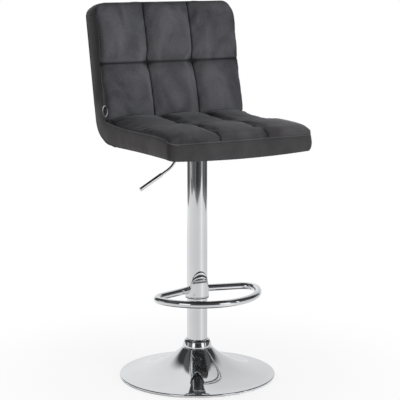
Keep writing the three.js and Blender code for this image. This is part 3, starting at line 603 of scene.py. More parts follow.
def collar():
    """The chrome collar with its rim, the black liner with a black foot below the rim that stands in as painted shade
    for the dark line at the collar's lower edge, and the chrome lip round its arch.
    """
    shell_top, liner_top = lambda a: arch(a, SHELL_TIP), lambda a: arch(a, LINER_TIP)
    lip_top = lambda a: liner_top(a) - 0.0022
    lip_bottom = lambda a: lip_top(a) - 0.0015 - 0.0045 * (liner_top(a) - COLLAR_SIDE) / (LINER_TIP - COLLAR_SIDE)
    rim = COLLAR_BOTTOM + 0.0024
    shell = sleeve("footrest_collar_shell", 0.0268, COLLAR_RADIUS, rim, shell_top, 0.0009, "chrome")
    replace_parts(shell, "footrest_collar")
    sleeve("footrest_collar_rim", 0.0272, COLLAR_RADIUS + 0.0006, rim, 0.204, 0.0007, "chrome")
    # A black band of the liner below the rim, put there as painted shade: the dark line along the collar's lower edge
    sleeve("collar_liner_shade_band", 0.0264, 0.0289, COLLAR_BOTTOM, COLLAR_BOTTOM + 0.0026, 0.0006, "black_plastic")
    sleeve("footrest_collar_lip", 0.0262, 0.0281, lip_bottom, lip_top, 0.0006, "chrome")
    liner = sleeve("collar_liner", COLUMN_BORE, 0.0266, COLLAR_BOTTOM, liner_top, 0.0005, "black_plastic")
    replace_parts(liner, "footrest_liner")


def set_screw():
    """A socket screw let into the collar under the left arm."""
    radius, reach, start, socket, bevel = 0.003, COLLAR_RADIUS, 0.0252, 0.0015, 0.0004
    low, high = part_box("footrest_set_screw")
    hexagon = lambda a: socket / cos((a + pi / 6) % (pi / 3) - pi / 6)
    outline = [
        (0, start), (radius - bevel, start), (radius, start + bevel), (radius, reach - bevel), (radius - bevel, reach),
        (lambda a: hexagon(a) * 1.12, reach), (hexagon, reach - 0.0002), (hexagon, reach - 0.0016), (0, reach - 0.002),
    ]
    made = piece("collar_screw", *turned((0, 0, (low.z + high.z) / 2), (-1, -1, 0), outline, 48), "base", "steel")
    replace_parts(made, "footrest_set_screw")


# ---- release lever -------------------------------------------------------------------------------------------------
def filleted(corners, radius):
    """A line through the corners with each inner one rounded."""
    corners = [Vector(corner) for corner in corners]
    line = [corners[0]]
    for before, here, after in zip(corners, corners[1:], corners[2:]):
        line += corner_curve(before, here, after, radius, 12)
    return [*line, corners[-1]]


def lever():
    corners = [(0.005, 0, 0.581), (-0.036, 0, 0.581), (-0.071, 0, 0.527), (-0.156, 0, 0.48)]
    line = along(filleted(corners, 0.014), 90)
    rod = piece("lever_rod", *tube(line, 0.0035, 24), "lever", "chrome")
    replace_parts(rod, "release_lever")
    end, bend = Vector(corners[3]), Vector(corners[2])
    out = (end - bend).normalized()
    profile = [
        (-0.066, 0.0037), (-0.0659, 0.0044), (-0.0652, 0.00485), (-0.064, 0.0049), (-0.033, 0.0049),
        (-0.001, 0.0049), (0, 0.0048), (0.0008, 0.0043), (0.0012, 0.0034), (0.0013, 0.0015),
    ]
    steps, radii = zip(*profile)
    grip = piece("lever_sleeve", *tube([end + out * t for t in steps], radii, 32), "lever", "chrome")
    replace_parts(grip, "lever_grip")


# ---- upholstery ----------------------------------------------------------------------------------------------------
def divided(edges, steps, bunched):
    """Positions across the pads between these edges, and each one's share of the way through its pad."""
    shares = np.linspace(0, 1, steps + 1)[:-1]
    if bunched:
        shares = (1 - np.cos(pi * shares)) / 2
    places = np.concatenate([a + (b - a) * shares for a, b in zip(edges, edges[1:])])
    return np.array([*places, edges[-1]]), np.array([*np.tile(shares, len(edges) - 1), 1.0])


def pillow(share):
    return (1 - np.abs(2 * share - 1) ** 2.5) ** (1 / 2.4)


def flank(distance):
    """1 over the pads, falling off evenly towards an outer seam."""
    return rise(distance / 0.075)


def lesser(first, second):
    """The smaller of two fills, with the change from one to the other rounded."""
    return (np.maximum(first, 1e-3) ** -4.0 + np.maximum(second, 1e-3) ** -4.0) ** -0.25


def rear_fill(share):
    """A rear seat pad from the cross seam to the crease: it climbs slowly and is fullest just before the crease."""
    return lesser(1.15 * (share / 0.8) ** 1.4, 1.05 * rise((1 - share) / 0.3)) / 0.887


def channelled(fill, place, cross, side):
    """The pads' fill along their length, with the cross channel fading out towards the sides."""
    near = ease(1.6 * (1 - np.abs(place - cross) / 0.07))
    return 1 - (1 - fill) * (1 - 0.75 * near * (1 - ease(side / 0.055)))


def corner_half(from_edge, radius):
    """Half the width at a distance from an edge whose corners are rounded."""
    d = np.clip(from_edge, 0, radius)
    return SEAT_HALF - radius + np.sqrt(radius**2 - (radius - d) ** 2)


def overhang(distance, size, reach=0.0065):
    """How far a pad swells out past its outer seam, at a distance in from it."""
    return size * distance / reach * np.exp(1 - distance / reach)


def crossings(x, place, cross):
    """How far each point is sunk where two sewn lines cross."""
    beside = sum(lobe(x - seam, CROSSING_REACH) for seam in PAD_EDGES[1:-1])
    return CROSSING_DIP * beside * lobe(place - cross, CROSSING_REACH)


# How far in from the seat's side its pads reach their level, by place from the front to the crease
SEAT_SHOULDERS = [
    (-0.213, 0.03), (-0.1, 0.042), (-0.05, 0.065), (0.02, 0.095), (0.05, 0.07), (0.075, 0.026), (0.101, 0.013),
]
SEAT_PADS = (0.007, 0.0128)  # the fill of the front pads and of the rear ones


def seat_surface(xs, shares_x, ys, shares_y):
    """The seat pads' top as [column, row, 3]."""
    x, y = np.meshgrid(xs, ys, indexing="ij")
    px, py = np.meshgrid(pillow(shares_x), pillow(shares_y), indexing="ij")
    side, front, rear = SEAT_HALF - np.abs(x), y - SEAT_FRONT, SEAT_ROWS[-1] - y
    share = np.clip((y - CROSS_SEAM) / (SEAT_ROWS[-1] - CROSS_SEAM), 0, 1)
    drift = (seat_seam[-1, 0] - SEAT_ROWS[-1]) * share**2
    seam = level(seat_seam, y + drift)
    base = level(seat_level, y) - 0.7 * crossings(x, y, CROSS_SEAM)
    lift = rise(side / level(SEAT_SHOULDERS, y))
    near_crease = ease((y - 0.055) / 0.03)
    behind = ease((y - CROSS_SEAM) / 0.02)
    front_pads = SEAT_PADS[0] * py * (0.35 + 0.65 * flank(side))
    rear_pads = SEAT_PADS[1] * rear_fill(share) * (flank(side) ** 2 * (1 - near_crease) + near_crease)
    seamed = 0.0026 * lobe(y - CROSS_SEAM, 0.03) * (1 - np.exp(-np.abs(y - CROSS_SEAM) / 0.0035))
    pads = px * (np.where(y < CROSS_SEAM, front_pads, rear_pads) + seamed * (1 - 0.4 * behind))
    pads *= 1 - 0.3 * crossings(x, y, CROSS_SEAM) / CROSSING_DIP
    z = seam + (base - seam) * np.minimum(lift, rise(front / SHOULDER)) + pads
    swell = overhang(side, 0.006, 0.008) * ease(rear / 0.012) * (0.4 + 0.6 * ease(front / 0.025))
    x = x * corner_half(front, FRONT_ROUND) / SEAT_HALF + np.sign(x) * swell
    y = y + drift * (1 - rise(side / SHOULDER)) - overhang(front, 0.006, 0.008) * (0.3 + 0.7 * ease(side / 0.03))
    return np.stack([x, y, z], axis=2)


def back_surface(xs, shares_x, ups, shares_up):
    """The back pads' front as [column, row, 3]."""
    x, up = np.meshgrid(xs, ups, indexing="ij")
    px, pu = np.meshgrid(pillow(shares_x), pillow(shares_up), indexing="ij")
    side, top, bottom = SEAT_HALF - np.abs(x), BACK_ROWS[-1] - up, up - BACK_ROWS[0]
    drift = (back_seam[0, 0] - BACK_ROWS[0]) * np.clip((BACK_CROSS - up) / (BACK_CROSS - BACK_ROWS[0]), 0, 1) ** 2
    seam = level(back_seam, up + drift)
    channel = 0.0035 * np.exp(-np.abs(up - BACK_CROSS) / 0.016) * ease(side / 0.045)
    base = level(back_level, up) - crossings(x, up, BACK_CROSS) - channel
    lift = rise(side / SHOULDER)
    crown = bulge((x + SEAT_HALF) / (2 * SEAT_HALF)) * bulge(bottom / (BACK_ROWS[-1] - BACK_ROWS[0]))
    pads = 0.015 * px * channelled(pu, up, BACK_CROSS, side) * (1 - 0.6 * crossings(x, up, BACK_CROSS) / CROSSING_DIP)
    forward = seam + (base - seam) * np.minimum(lift, rise(top / SHOULDER)) + pads + 0.003 * crown
    swell = overhang(side, 0.0095, 0.008) * ease(bottom / 0.008) * ease(top / 0.04)
    x = x * corner_half(top, TOP_ROUND) / SEAT_HALF + np.sign(x) * swell
    up = up + drift * (1 - lift) + overhang(top, 0.0055) * ease(side / 0.035)
    return np.stack([x, *plane_point(up, forward)], axis=2)


BADGE = sum(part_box("badge"), Vector()) / 2
BADGE_RADIUS = (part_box("badge")[1].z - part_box("badge")[0].z) / 2
BADGE_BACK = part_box("badge")[1].x


def pressed(x, y, z, stand=0.0):
    """The X of a point of fabric on the left side, held back where the badge sits on it."""
    away = np.hypot(y - BADGE.y, z - BADGE.z) - BADGE_RADIUS
    held = 1 - ease(away / 0.009)
    limit = BADGE_BACK - 0.0001 + stand
    return np.where(x < limit, x + (limit - x) * held, x)


def closed_pad(surface, inward):
    """The quilted face with a flat back set behind its edge, as points and faces."""
    columns, rows = surface.shape[:2]
    points = list(surface.reshape(-1, 3))
    loop = [i * rows for i in range(columns)] + [(columns - 1) * rows + j for j in range(1, rows)]
    loop += [i * rows + rows - 1 for i in range(columns - 2, -1, -1)] + list(range(rows - 2, 0, -1))
    first, count = len(points), len(loop)
    centre = np.mean([points[k] for k in loop], axis=0)
    points += [points[k] + (centre - points[k]) * 0.02 + inward for k in loop]
    faces = grid_faces(columns, rows)
    faces += [[loop[n], first + n, first + (n + 1) % count, loop[(n + 1) % count]] for n in range(count)]
    return points, [*faces, [first + n for n in range(count)]]


SWELLING = {
    "quality": 6, "mass": 0.25, "tension_stiffness": 12, "compression_stiffness": 12, "shear_stiffness": 5,
    "bending_stiffness": 0.4, "shrink_min": -0.03, "use_pressure": True, "uniform_pressure_force": 3,
    "vertex_group_mass": "held",
}
SWELLING_FRAMES = 20


def swollen(surface, shares_x, shares_y, inward, cap):
    """How far cloth simulation blows each point of the pads up, while their sewn lines and edges are held."""
    columns, rows = surface.shape[:2]
    points, faces = closed_pad(surface, inward)
    cloth = placed("swelling", mesh_of("swelling", points, faces))
    sewn_x, sewn_y = (np.abs(np.sin(pi * shares)) < 1e-6 for shares in (shares_x, shares_y))
    pins = np.flatnonzero(sewn_x[:, None] | sewn_y[None, :]).tolist() + list(range(columns * rows, len(points)))
    cloth.vertex_groups.new(name="held").add(pins, 1.0, "REPLACE")
    settings = cloth.modifiers.new("cloth", "CLOTH").settings
    for name, value in SWELLING.items():
        setattr(settings, name, value)
    settings.effector_weights.gravity = 0
    for number in range(1, SWELLING_FRAMES + 1):
        bpy.context.scene.frame_set(number)
    settled = cloth.evaluated_get(bpy.context.evaluated_depsgraph_get()).to_mesh()
    moved = np.array([v.co for v in settled.vertices])[: columns * rows].reshape(columns, rows, 3) - surface
    bpy.context.scene.frame_set(1)
    mesh = cloth.data
    bpy.data.objects.remove(cloth)
    bpy.data.meshes.remove(mesh)
    return moved * np.minimum(1, cap / np.maximum(np.linalg.norm(moved, axis=2, keepdims=True), 1e-9))


def spread(coarse, places, wanted):
    """Values on an even grid, read off at the wanted places."""
    for axis in (0, 1):
        read = lambda row: np.interp(wanted[axis], places[axis], row)
        coarse = np.apply_along_axis(read, axis, coarse)
    return coarse


def gathered(surface, shares_x, shares_y, normal):
    """Small puckers that run out from the seams and die away over the pad."""
    fades = []
    for shares in (shares_x, shares_y):
        into = np.minimum(shares, 1 - shares)
        fades += [1.6 * np.exp(-into / 0.1) * (1 - np.exp(-into / 0.012)), np.minimum(1, 8 * into)]
    near_x, slow_x, near_y, slow_y = fades
    for i, j in np.ndindex(surface.shape[:2]):
        x, y, z = surface[i, j]
        by_column = wobble(x * 0.15, y, z, 0.011) * near_x[i]
        by_row = wobble(x, y * 0.15, z * 0.15, 0.011) * near_y[j]
        slow = 0.9 * wobble(x, y, z, 0.055) * slow_x[i] * slow_y[j]
        surface[i, j] += np.array(normal) * 0.0007 * (by_column + by_row + slow)
    return surface


def paint_shading(made, shading_of):
    """Records painted shade and light at each point: below 0 the colour is darkened as painted shade, above 0
    lightened as painted light.
    """
    places = np.array([v.co for v in made.data.vertices])
    painted_light = made.data.attributes.new("painted_light", "FLOAT", "POINT")
    painted_light.data.foreach_set("value", np.clip(shading_of(*places.T), -0.85, 0.6).astype(np.float32))


def seam_shade(x, place, cross, row_depth):
    """Painted shade along the sewn lines and on the pad flank just right of each, deepest where the lines meet."""
    painted_light = -row_depth * lobe(place - cross, 0.0028)
    for seam in PAD_EDGES[1:-1]:
        painted_light = painted_light - 0.45 * lobe(x - seam, 0.0022) - 0.18 * np.exp(-np.clip(x - seam, 0, 1) / 0.007) * (x > seam)
        painted_light = painted_light - 1.2 * row_depth * lobe(x - seam - 0.002, 0.0115) * lobe(place - cross + 0.002, 0.0115)
    return painted_light


def seat_shading(x, y, z):
    """Painted shade towards the crease and at the outer edge, with painted light at the front right."""
    rear = (0.22 + 0.18 * ease((x + 0.12) / 0.08)) * ease((y + 0.055) / 0.05) + 0.38 * ease((y - 0.03) / 0.06)
    edge = np.clip(np.minimum(SEAT_HALF - np.abs(x), y - SEAT_FRONT), 0, 1)
    painted_light = seam_shade(x, y, CROSS_SEAM, 0.06) - rear + 0.45 * lobe(x - 0.15, 0.07) * lobe(y + 0.16, 0.06)
    return painted_light - 0.4 * np.exp(-edge / 0.0035)


def back_shading(x, y, z):
    """Painted shade, darkest just below the cross seam and by the outer one; painted light above it and low in the
    middle.
    """
    up, _ = plane_place(y, z)
    over = up - BACK_CROSS
    painted_light = seam_shade(x, up, BACK_CROSS, 0.55) - 0.32 * np.exp(-np.clip(-over, 0, 1) / 0.011) * (over < 0)
    painted_light = painted_light + 0.1 * np.exp(-np.clip(over, 0, 1) / 0.03) * (over > 0.004) - 0.06 * (over > 0)
    painted_light = painted_light + 0.16 * lobe(x, 0.05) * lobe(up - 0.07, 0.05)
    edge = np.clip(np.minimum(SEAT_HALF - np.abs(x), SEAM_LENGTH - up), 0, 1)
    return painted_light - 0.35 * np.exp(-edge / 0.0045) - 0.1 * np.exp(-edge / 0.02)


def quilt(name, surface_of, rows, normal, look, replaced, shading_of, cap):
    """One three by two field of pads: its drawn form, blown up by cloth simulation, with gathers at the seams."""
    fine_x, share_x = divided(PAD_EDGES, 26, True)
    fine_y, share_y = divided(rows, 30, True)
    inward = -0.01 * np.array(normal)
    surface = surface_of(fine_x, share_x, fine_y, share_y)
    even_x, even_share_x = divided(PAD_EDGES, 28, False)
    even_y, even_share_y = divided(rows, 34, False)
    start = surface_of(even_x, even_share_x, even_y, even_share_y)
    moved = swollen(start, even_share_x, even_share_y, inward, cap)
    surface = surface + spread(moved, (even_x, even_y), (fine_x, fine_y))
    surface = gathered(surface, share_x, share_y, normal)
    surface[..., 0] = pressed(*np.moveaxis(surface, 2, 0))
    made = piece(name, *closed_pad(surface, inward), "seat", "velvet", look, merge=1e-6)
    paint_shading(made, shading_of)
    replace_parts(made, *replaced)
    return surface


# ---- boxing strip: pairs of points on its two seams, with the way out between them ---------------------------------
EVEN_UNDERSIDE = 0.055  # the Y behind which the boxing's lower seam runs on as the L's outer line
LOW_BACK = 0.0602  # and how far up the back it stops to follow the corner
BOXING_STEPS = (64, 40, 50)  # points along the seat, round the corner and up the back


def rear_line(start_y, end_up):
    """The L's outer line from under the seat round the corner and up the back, in Y and Z."""
    line = [(y, SEAT_UNDERSIDE) for y in np.linspace(start_y, CORNER.x, 30)[:-1]]
    arc = np.linspace(-pi / 2, -BACK_LEAN, 40)
    line += [(CORNER.x + CORNER_RADIUS * cos(a), CORNER.y + CORNER_RADIUS * sin(a)) for a in arc]
    return np.array(line + [back_point(up) for up in np.linspace(0, end_up, 60)[1:]])


def pulled_in(y, z):
    """How far the cover is drawn in at the sides round the L's lower corner, as a shift in Y and Z."""
    amount = 0.0058 * exp(-(((y - 0.118) / 0.034) ** 2)) * float(ease((0.7 - z) / 0.06))
    towards = Vector((-max(y - CORNER.x, 0), CORNER.y - z)).normalized()
    return towards.x * amount, towards.y * amount


def lower_edge(x, y):
    """The height of the boxing's lower edge: it sags along the front and rises a little along each side."""
    from_front = ease((y - SEAT_FRONT) / 0.035)
    along_side = np.clip((y - SEAT_FRONT) / 0.26, 0, 1)
    sag = 0.0013 + 0.0062 * bulge((x + SEAT_HALF) / (2 * SEAT_HALF))
    return SEAT_UNDERSIDE - sag * (1 - from_front) + 0.0016 * bulge(along_side)


def side_pairs():
    """The two seams down one side, from the front corner to the top one, as matched points in Y and Z."""
    count_at = lambda value, axis: float(np.interp(value, seam_line[:, axis], np.arange(len(seam_line))))
    top_z = np.interp(SEAM_LENGTH - TOP_ROUND, back_seam[:, 0], seam_line[SIDE_SEAM_TURN * 10 :, 1])
    start = SEAT_FRONT + FRONT_ROUND
    keys = [count_at(start, 0), count_at(EVEN_UNDERSIDE, 0), count_at(0.7, 1), count_at(top_z, 1)]
    lower = [
        [(y, lower_edge(-SEAT_HALF, y)) for y in np.linspace(start, EVEN_UNDERSIDE, 40)],
        rear_line(EVEN_UNDERSIDE, LOW_BACK),
        [back_point(up) for up in (LOW_BACK, BACK_LENGTH - TOP_ROUND)],
    ]
    fronts, rears = [], []
    for ends, line, count in zip(zip(keys, keys[1:]), lower, BOXING_STEPS):
        kept = count if line is lower[-1] else count - 1
        fronts.append(along(seam_line, count, ends)[:kept])
        rears.append(along(line, count)[:kept])
    rears = np.vstack(rears)
    return np.vstack(fronts), rears + np.array([pulled_in(y, z) for y, z in rears])


def side_stations(sign):
    x = sign * SEAT_HALF
    return [((x, *f), (x, *r), (sign, 0, 0)) for f, r in zip(*side_pairs())]


def cornered(sign, radius, corner_steps, steps):
    """Across the stool from one side to the other, round both corners: X, and how far out and sideways it points."""
    inner, arc = SEAT_HALF - radius, np.linspace(0, pi / 2, corner_steps)
    first = [(sign * (inner + radius * cos(a)), sin(a), sign * cos(a)) for a in arc]
    middle = [(x, 1.0, 0.0) for x in np.linspace(sign * inner, -sign * inner, steps)[1:-1]]
    return [*first, *middle, *((-x, share, -sideways) for x, share, sideways in reversed(first))]


def top_stations():
    """Over the back's top, from the left corner to the right one."""
    stations = []
    for x, share, sideways in cornered(-1, TOP_ROUND, 14, 70):
        up = SEAM_LENGTH - TOP_ROUND + TOP_ROUND * share
        front = plane_point(up, float(level(back_seam, up)))
        rear = back_point(BACK_LENGTH - TOP_ROUND + TOP_ROUND * share)
        stations.append(((x, *front), (x, *rear), (sideways, share * sin(BACK_LEAN), share * cos(BACK_LEAN))))
    return stations


def front_stations():
    """Round the seat's front, from the right corner to the left one."""
    stations = []
    for x, share, sideways in cornered(1, FRONT_ROUND, 12, 90):
        y = SEAT_FRONT + FRONT_ROUND - FRONT_ROUND * share
        stations.append(((x, y, float(level(seat_seam, y))), (x, y, lower_edge(x, y)), (sideways, -share, 0)))
    return stations


BOXING_SHARES = np.r_[0, 0.03, 0.08, np.linspace(0.14, 0.86, 13), 0.92, 0.97, 1]


def boxed(station, t, bow, fold):
    """A point of the boxing: bowed out between its seams, creased, and puckered by its lower edge."""
    front, rear, out = (Vector(v) for v in station)
    place = front.lerp(rear, t)
    x, y, z = place
    sideways, inside = abs(out.x), 4 * t * (1 - t)
    under_seat = 1 - ease((y - 0.02) / 0.06)
    near_front = 1 + 0.5 * under_seat * sideways * (x > 0)
    bowed = bow * near_front * inside**0.7 - 0.0012 * (1 - min(1, 8 * min(t, 1 - t)))
    run = x * (1 - sideways) + y * sideways
    pucker = sin(2 * pi * run / 0.021 + 2.2 * wobble(run, x, 0, 0.06)) * ease((t - 0.6) / 0.4) * under_seat
    pucker *= 0.5 + 0.5 * wobble(run, 0.3, x, 0.045)
    crease = wobble(x * 1.3, y * 0.8, z * 2.2, 0.03) * fold + wobble(run * 0.35, 0, t * 0.03, 0.01) * fold
    away = bowed + crease * (0.3 + 0.7 * inside) + 0.001 * pucker * (0.5 + 0.5 * sideways)
    place += out * away + Vector((0, 0, -0.0008 * pucker * sideways * ease((t - 0.8) / 0.2)))
    if out.x < -0.9:
        place.x = pressed(*place)
    return place


# Painted light low on the side boxing beside the seat, and painted shade higher up beside the back
def side_shading(x, y, z):
    return 0.1 - 0.46 * ease((z - 0.645) / 0.05)


def strip(name, stations, node, bow=0.004, fold=0.0006, shading_of=side_shading):
    points = [boxed(station, t, bow, fold) for station in stations for t in BOXING_SHARES]
    faces = grid_faces(len(stations), len(BOXING_SHARES))
    made = piece(name, points, faces, "seat", "velvet")
    paint_shading(made, shading_of)
    faces_out = made.data.polygons[len(faces) // 2].normal.dot(Vector(stations[len(stations) // 2][2])) > 0
    thickened(made, 0.0018, -1 if faces_out else 1)
    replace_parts(made, node)


def boxing():
    left, right = side_stations(-1), side_stations(1)
    top, front = top_stations(), front_stations()
    strip("boxing_left", left, "side_band_left")
    strip("boxing_right", right, "side_band_right")
    strip("boxing_top", top, "top_band", 0.0035)
    # The front boxing is painted in shade, evenly darker
    strip("boxing_front", front, "front_band", 0.0032, 0.0013, lambda x, y, z: -0.33 + 0 * x)
    return left, right, top, front


def welts(left, right, top, front):
    """The rolled edge along each seam of the boxing."""
    path = along([Vector(f) + Vector(n) * 0.0004 for f, _, n in [*left, *top, *right[::-1], *front]], 900)
    path[:, 0] = pressed(*path.T, stand=0.0018)
    made = piece("pad_seam_welt", *tube(path, 0.0015, 10, closed=True), "seat", "velvet")
    # Painted highlight on the welt along the seat's left side, and painted shade on it up the back
    paint_shading(made, lambda x, y, z: 0.55 * (x < -0.17) * ease((0.66 - z) / 0.03) - 0.2 * (z > 0.7))
    turn = BOXING_STEPS[0]
    path = [Vector(r) + Vector(n) * 0.0003 for _, r, n in [*left[turn:], *top, *right[: turn - 1 : -1]]]
    piece("rear_seam_welt", *tube(along(path, 700), 0.0012, 10), "seat", "velvet")


# ---- stitches, staples and the badge -------------------------------------------------------------------------------
def stitched(path, out):
    """A row of stitches along a path: each a short thread that dips in at both ends."""
    pitch, length, radius = 0.0062, 0.0044, 0.00042
    run = lengths_of(path)[-1]
    fine = along(path, int(run / 0.0011) + 2)
    step, out = run / (len(fine) - 1), Vector(out)
    parts = []
    for s in np.arange(pitch, run - pitch, pitch):
        places = [Vector(fine[min(len(fine) - 1, round((s + length * t) / step))]) for t in (0, 0.34, 0.67, 1)]
        parts.append(tube([p + out * lift for p, lift in zip(places, (-0.0005, 0.0003, 0.0003, -0.0005))], radius, 6))
    return merged(parts)


def stitch_rows(name, face, normal):
    """Stitches along the sewn lines between the pads."""
    third, middle = (face.shape[0] - 1) // 3, (face.shape[1] - 1) // 2
    lines = [face[third, 2:-2], face[2 * third, 2:-2], face[3:-3, middle]]
    piece(name, *merged([stitched(line, normal) for line in lines]), "seat", "velvet", thread)


def boxing_stitches(*seams):
    """A row on the boxing, just behind the rolled seam of the pads."""
    rows = []
    for stations, share in zip(seams, (0.09, 0.09, 0.1, 0.1)):
        middle = Vector(stations[len(stations) // 2][2])
        path = [boxed(s, share, 0.0038, 0.0006) for s in stations if Vector(s[2]).dot(middle) > 0.9]
        clear = [(p - BADGE).length > BADGE_RADIUS + 0.003 for p in path]
        breaks = [0, *[k for k in range(1, len(path)) if clear[k] != clear[k - 1]], len(path)]
        rows += [stitched(path[a:b], middle) for a, b in zip(breaks, breaks[1:]) if clear[a] and b - a > 3]
    piece("boxing_stitches", *merged(rows), "seat", "velvet", thread)


def staple(centre, run):
    """A wire staple in the underside: its crown shows and its legs go up into the wood."""
    centre, run, up = Vector(centre), Vector(run), Vector((0, 0, 1))
    half, leg, bend = 0.005, 0.0022, 0.0005
    side = [run * half + up * leg, run * half + up * bend, run * (half - bend)]
    mirrored = [p.reflect(run) for p in side]
    return tube([centre + p for p in [*mirrored, *side[::-1]]], 0.00035, 6)


def staples():
    inset, pitch = 0.0135, 0.0215
    wander = lambda k: 0.0011 * sin(k * 2.3)
    parts = []
    for k, x in enumerate(np.arange(-0.166, 0.167, pitch)):
        under = SEAT_UNDERSIDE - 0.002 - 0.0024 * bulge((x + SEAT_HALF) / (2 * SEAT_HALF))
        parts.append(staple((x, SEAT_FRONT + inset + wander(k), under), (1, 0, 0)))
        parts.append(staple((x + wander(k), HEM_START + 0.0075, SEAT_UNDERSIDE - 0.0008), (1, 0, 0)))
    for k, y in enumerate(np.arange(-0.182, 0.06, pitch)):
        for side in (-1, 1):
            parts.append(staple((side * (SEAT_HALF - inset + wander(k)), y, SEAT_UNDERSIDE - 0.001), (0, 1, 0)))
    piece("staples", *merged(parts), "seat", "steel")


def dust_cloth():
    """The black cloth under the seat, with the opening for the lever over the mount plate."""
    low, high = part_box("dust_cover")
    left, right, half = -0.07, 0.0185, 0.0185
    plate = 0.088
    xs = np.unique(np.r_[np.linspace(low.x, high.x, 73), left, right])
    ys = np.unique(np.r_[np.linspace(low.y, high.y, 57), -half, half])
    width, length = high.x - low.x, high.y - low.y
    points = []
    for x in xs:
        for y in ys:
            u, v = (x - low.x) / width, (y - low.y) / length
            sag = 0.0012 * (bulge(u) * bulge(v)) ** 0.5
            pulled = 0.00035 * sin(2 * pi * (x + y) / 0.0215) * exp(-min(u, 1 - u, v, 1 - v) / 0.05)
            free = ease((max(abs(x), abs(y)) - plate) / 0.03)
            points.append((x, y, (low.z + high.z) / 2 + free * (0.0004 * wobble(x, y, 0, 0.03) + pulled - sag)))
    faces = []
    for face in grid_faces(len(xs), len(ys)):
        cx, cy = np.mean([points[k][:2] for k in face], axis=0)
        if not (left < cx < right and abs(cy) < half):
            faces.append(face)
    made = piece("dust_cloth", points, faces, "seat", "dust_felt")
    thickened(made, 0.0006, 0)
    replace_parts(made, "dust_cover")


def badge():
    """The round badge on the left side: a bright rim round a plain dark face."""
    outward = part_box("badge")[1].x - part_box("badge")[0].x
    centre, r = (BADGE_BACK, BADGE.y, BADGE.z), BADGE_RADIUS
    rim = spline([
        (r - 0.0001, 0), (r, 0.0007), (r - 0.0003, 0.0012), (r - 0.001, outward), (r - 0.0018, 0.0014),
        (r - 0.0025, 0.001), (r - 0.0029, 0.0005),
    ], 4)
    rim = [(0, 0), *map(tuple, rim), (0, 0.0005)]
    ring = piece("badge_ring", *turned(centre, (-1, 0, 0), rim, 72), "seat", "badge_metal")
    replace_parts(ring, "badge")
    inner = r - 0.0029
    face = [(0, 0.0002), (inner, 0.0002), (inner, 0.0006), (inner - 0.0005, 0.0009), (r * 0.55, 0.00105), (0, 0.0011)]
    piece("badge_face", *turned(centre, (-1, 0, 0), face, 72), "seat", "badge_metal", badge_dark)


# ---- rear panel and underside --------------------------------------------------------------------------------------
def rear_panel():
    """The back's outside, drawn in at its edges clear of the wooden shell, down to its hem under the seat."""
    line = along(rear_line(HEM_START, BACK_LENGTH), 130)
    lengths = lengths_of(line)
    shares = np.linspace(-1, 1, 65)
    shares = np.sign(shares) * (1 - (1 - np.abs(shares)) ** 1.6)
    shell_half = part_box("seat_shell")[1].x + 0.0006
    points = []
    for (y, z), run, length in zip(line, directions(line), lengths):
        out = Vector((0, run.y, -run.x))
        left = lengths[-1] - length
        half = float(corner_half(left, TOP_ROUND)) + 0.0002
        swell = ease(left / 0.03) * ease(length / 0.05)
        hem = 1 - ease(length / 0.03)
        for s in shares:
            x = s * half
            belly = 0.0034 * swell * (1 - abs(s) ** 3)
            drag = wobble(x * 0.6, y * 2, z * 2, 0.04) * 0.0007 * swell * (1 - s**6)
            pucker = 0.0007 * hem * sin(2 * pi * x / 0.019 + 2 * wobble(x, 0, 0, 0.05))
            near_side = max(0.0, (abs(x) - shell_half) / (SEAT_HALF - shell_half)) ** 0.8
            shift = Vector((0, *pulled_in(y, z))) * near_side + Vector((0, 0, 0.6 * pucker - 0.0005 * hem))
            points.append(Vector((x, y, z)) + out * (belly + drag) + shift)
    made = piece("rear_panel", points, grid_faces(len(line), len(shares)), "seat", "velvet")
    thickened(made, 0.0016, -1)
    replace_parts(made, "rear_cover")


def turned_under():
    """The boxing's edge folded in under the seat along its front and sides."""
    inner, start, width = SEAT_HALF - FRONT_ROUND, SEAT_FRONT + FRONT_ROUND, 0.024
    half = [(-SEAT_HALF, y) for y in np.linspace(HEM_START + 0.012, start, 90)]
    half += [(-inner - FRONT_ROUND * cos(a), start - FRONT_ROUND * sin(a)) for a in np.linspace(0, pi / 2, 12)[1:]]
    line = half + [(x, SEAT_FRONT) for x in np.linspace(-inner, inner, 110)[1:-1]] + [(-x, y) for x, y in half[::-1]]
    points = []
    for k, ((x, y), run) in enumerate(zip(line, directions(line))):
        inward = Vector((-run.y, run.x, 0))
        lifted = pulled_in(y, SEAT_UNDERSIDE)[1] * (abs(x) > 0.18)
        for t in np.linspace(0, 1, 7):
            pleat = 0.0005 * sin(2 * pi * k * 0.0031 / 0.0105 + 3 * wobble(x, y, 0, 0.05)) * (0.3 + t)
            height = (lower_edge(x, y) + lifted) * (1 - t) + (SEAT_UNDERSIDE - 0.0004) * t - 0.001 * sin(pi * t)
            points.append(Vector((x, y, height + pleat)) + inward * width * t)
    thickened(piece("turned_under_edge", points, grid_faces(len(line), 7), "seat", "velvet"), 0.001, 1)


# ---- studio --------------------------------------------------------------------------------------------------------
def photo_camera():
    """Where the photo was taken from, as the fit to the base, column, footrest and seat gave it."""
    data = bpy.data.cameras.new("camera")
    data.lens, data.sensor_width = 126.75, 36
    data.shift_x, data.shift_y = 0.0071, 0.0228
    data.clip_end = 200
    made = placed("camera", data)
    made.location = (-1.704, -2.9195, 1.0293)
    made.rotation_euler = (radians(90 - 10.2366), 0, radians(-30.2688))
    bpy.context.scene.camera = made


def lamp(name, power, bearing, height, spread, colour):
    """A broad far light. Metal shows the studio instead of it."""
    data = bpy.data.lights.new(name, "SUN")
    data.energy, data.angle, data.color = power, radians(spread), colour
    made = placed(name, data)
    a, e = radians(bearing), radians(height)
    out = Vector((cos(e) * cos(a), cos(e) * sin(a), sin(e)))
    made.location = out * 3
    made.rotation_euler = out.to_track_quat("Z", "Y").to_euler()
    made.visible_glossy = False


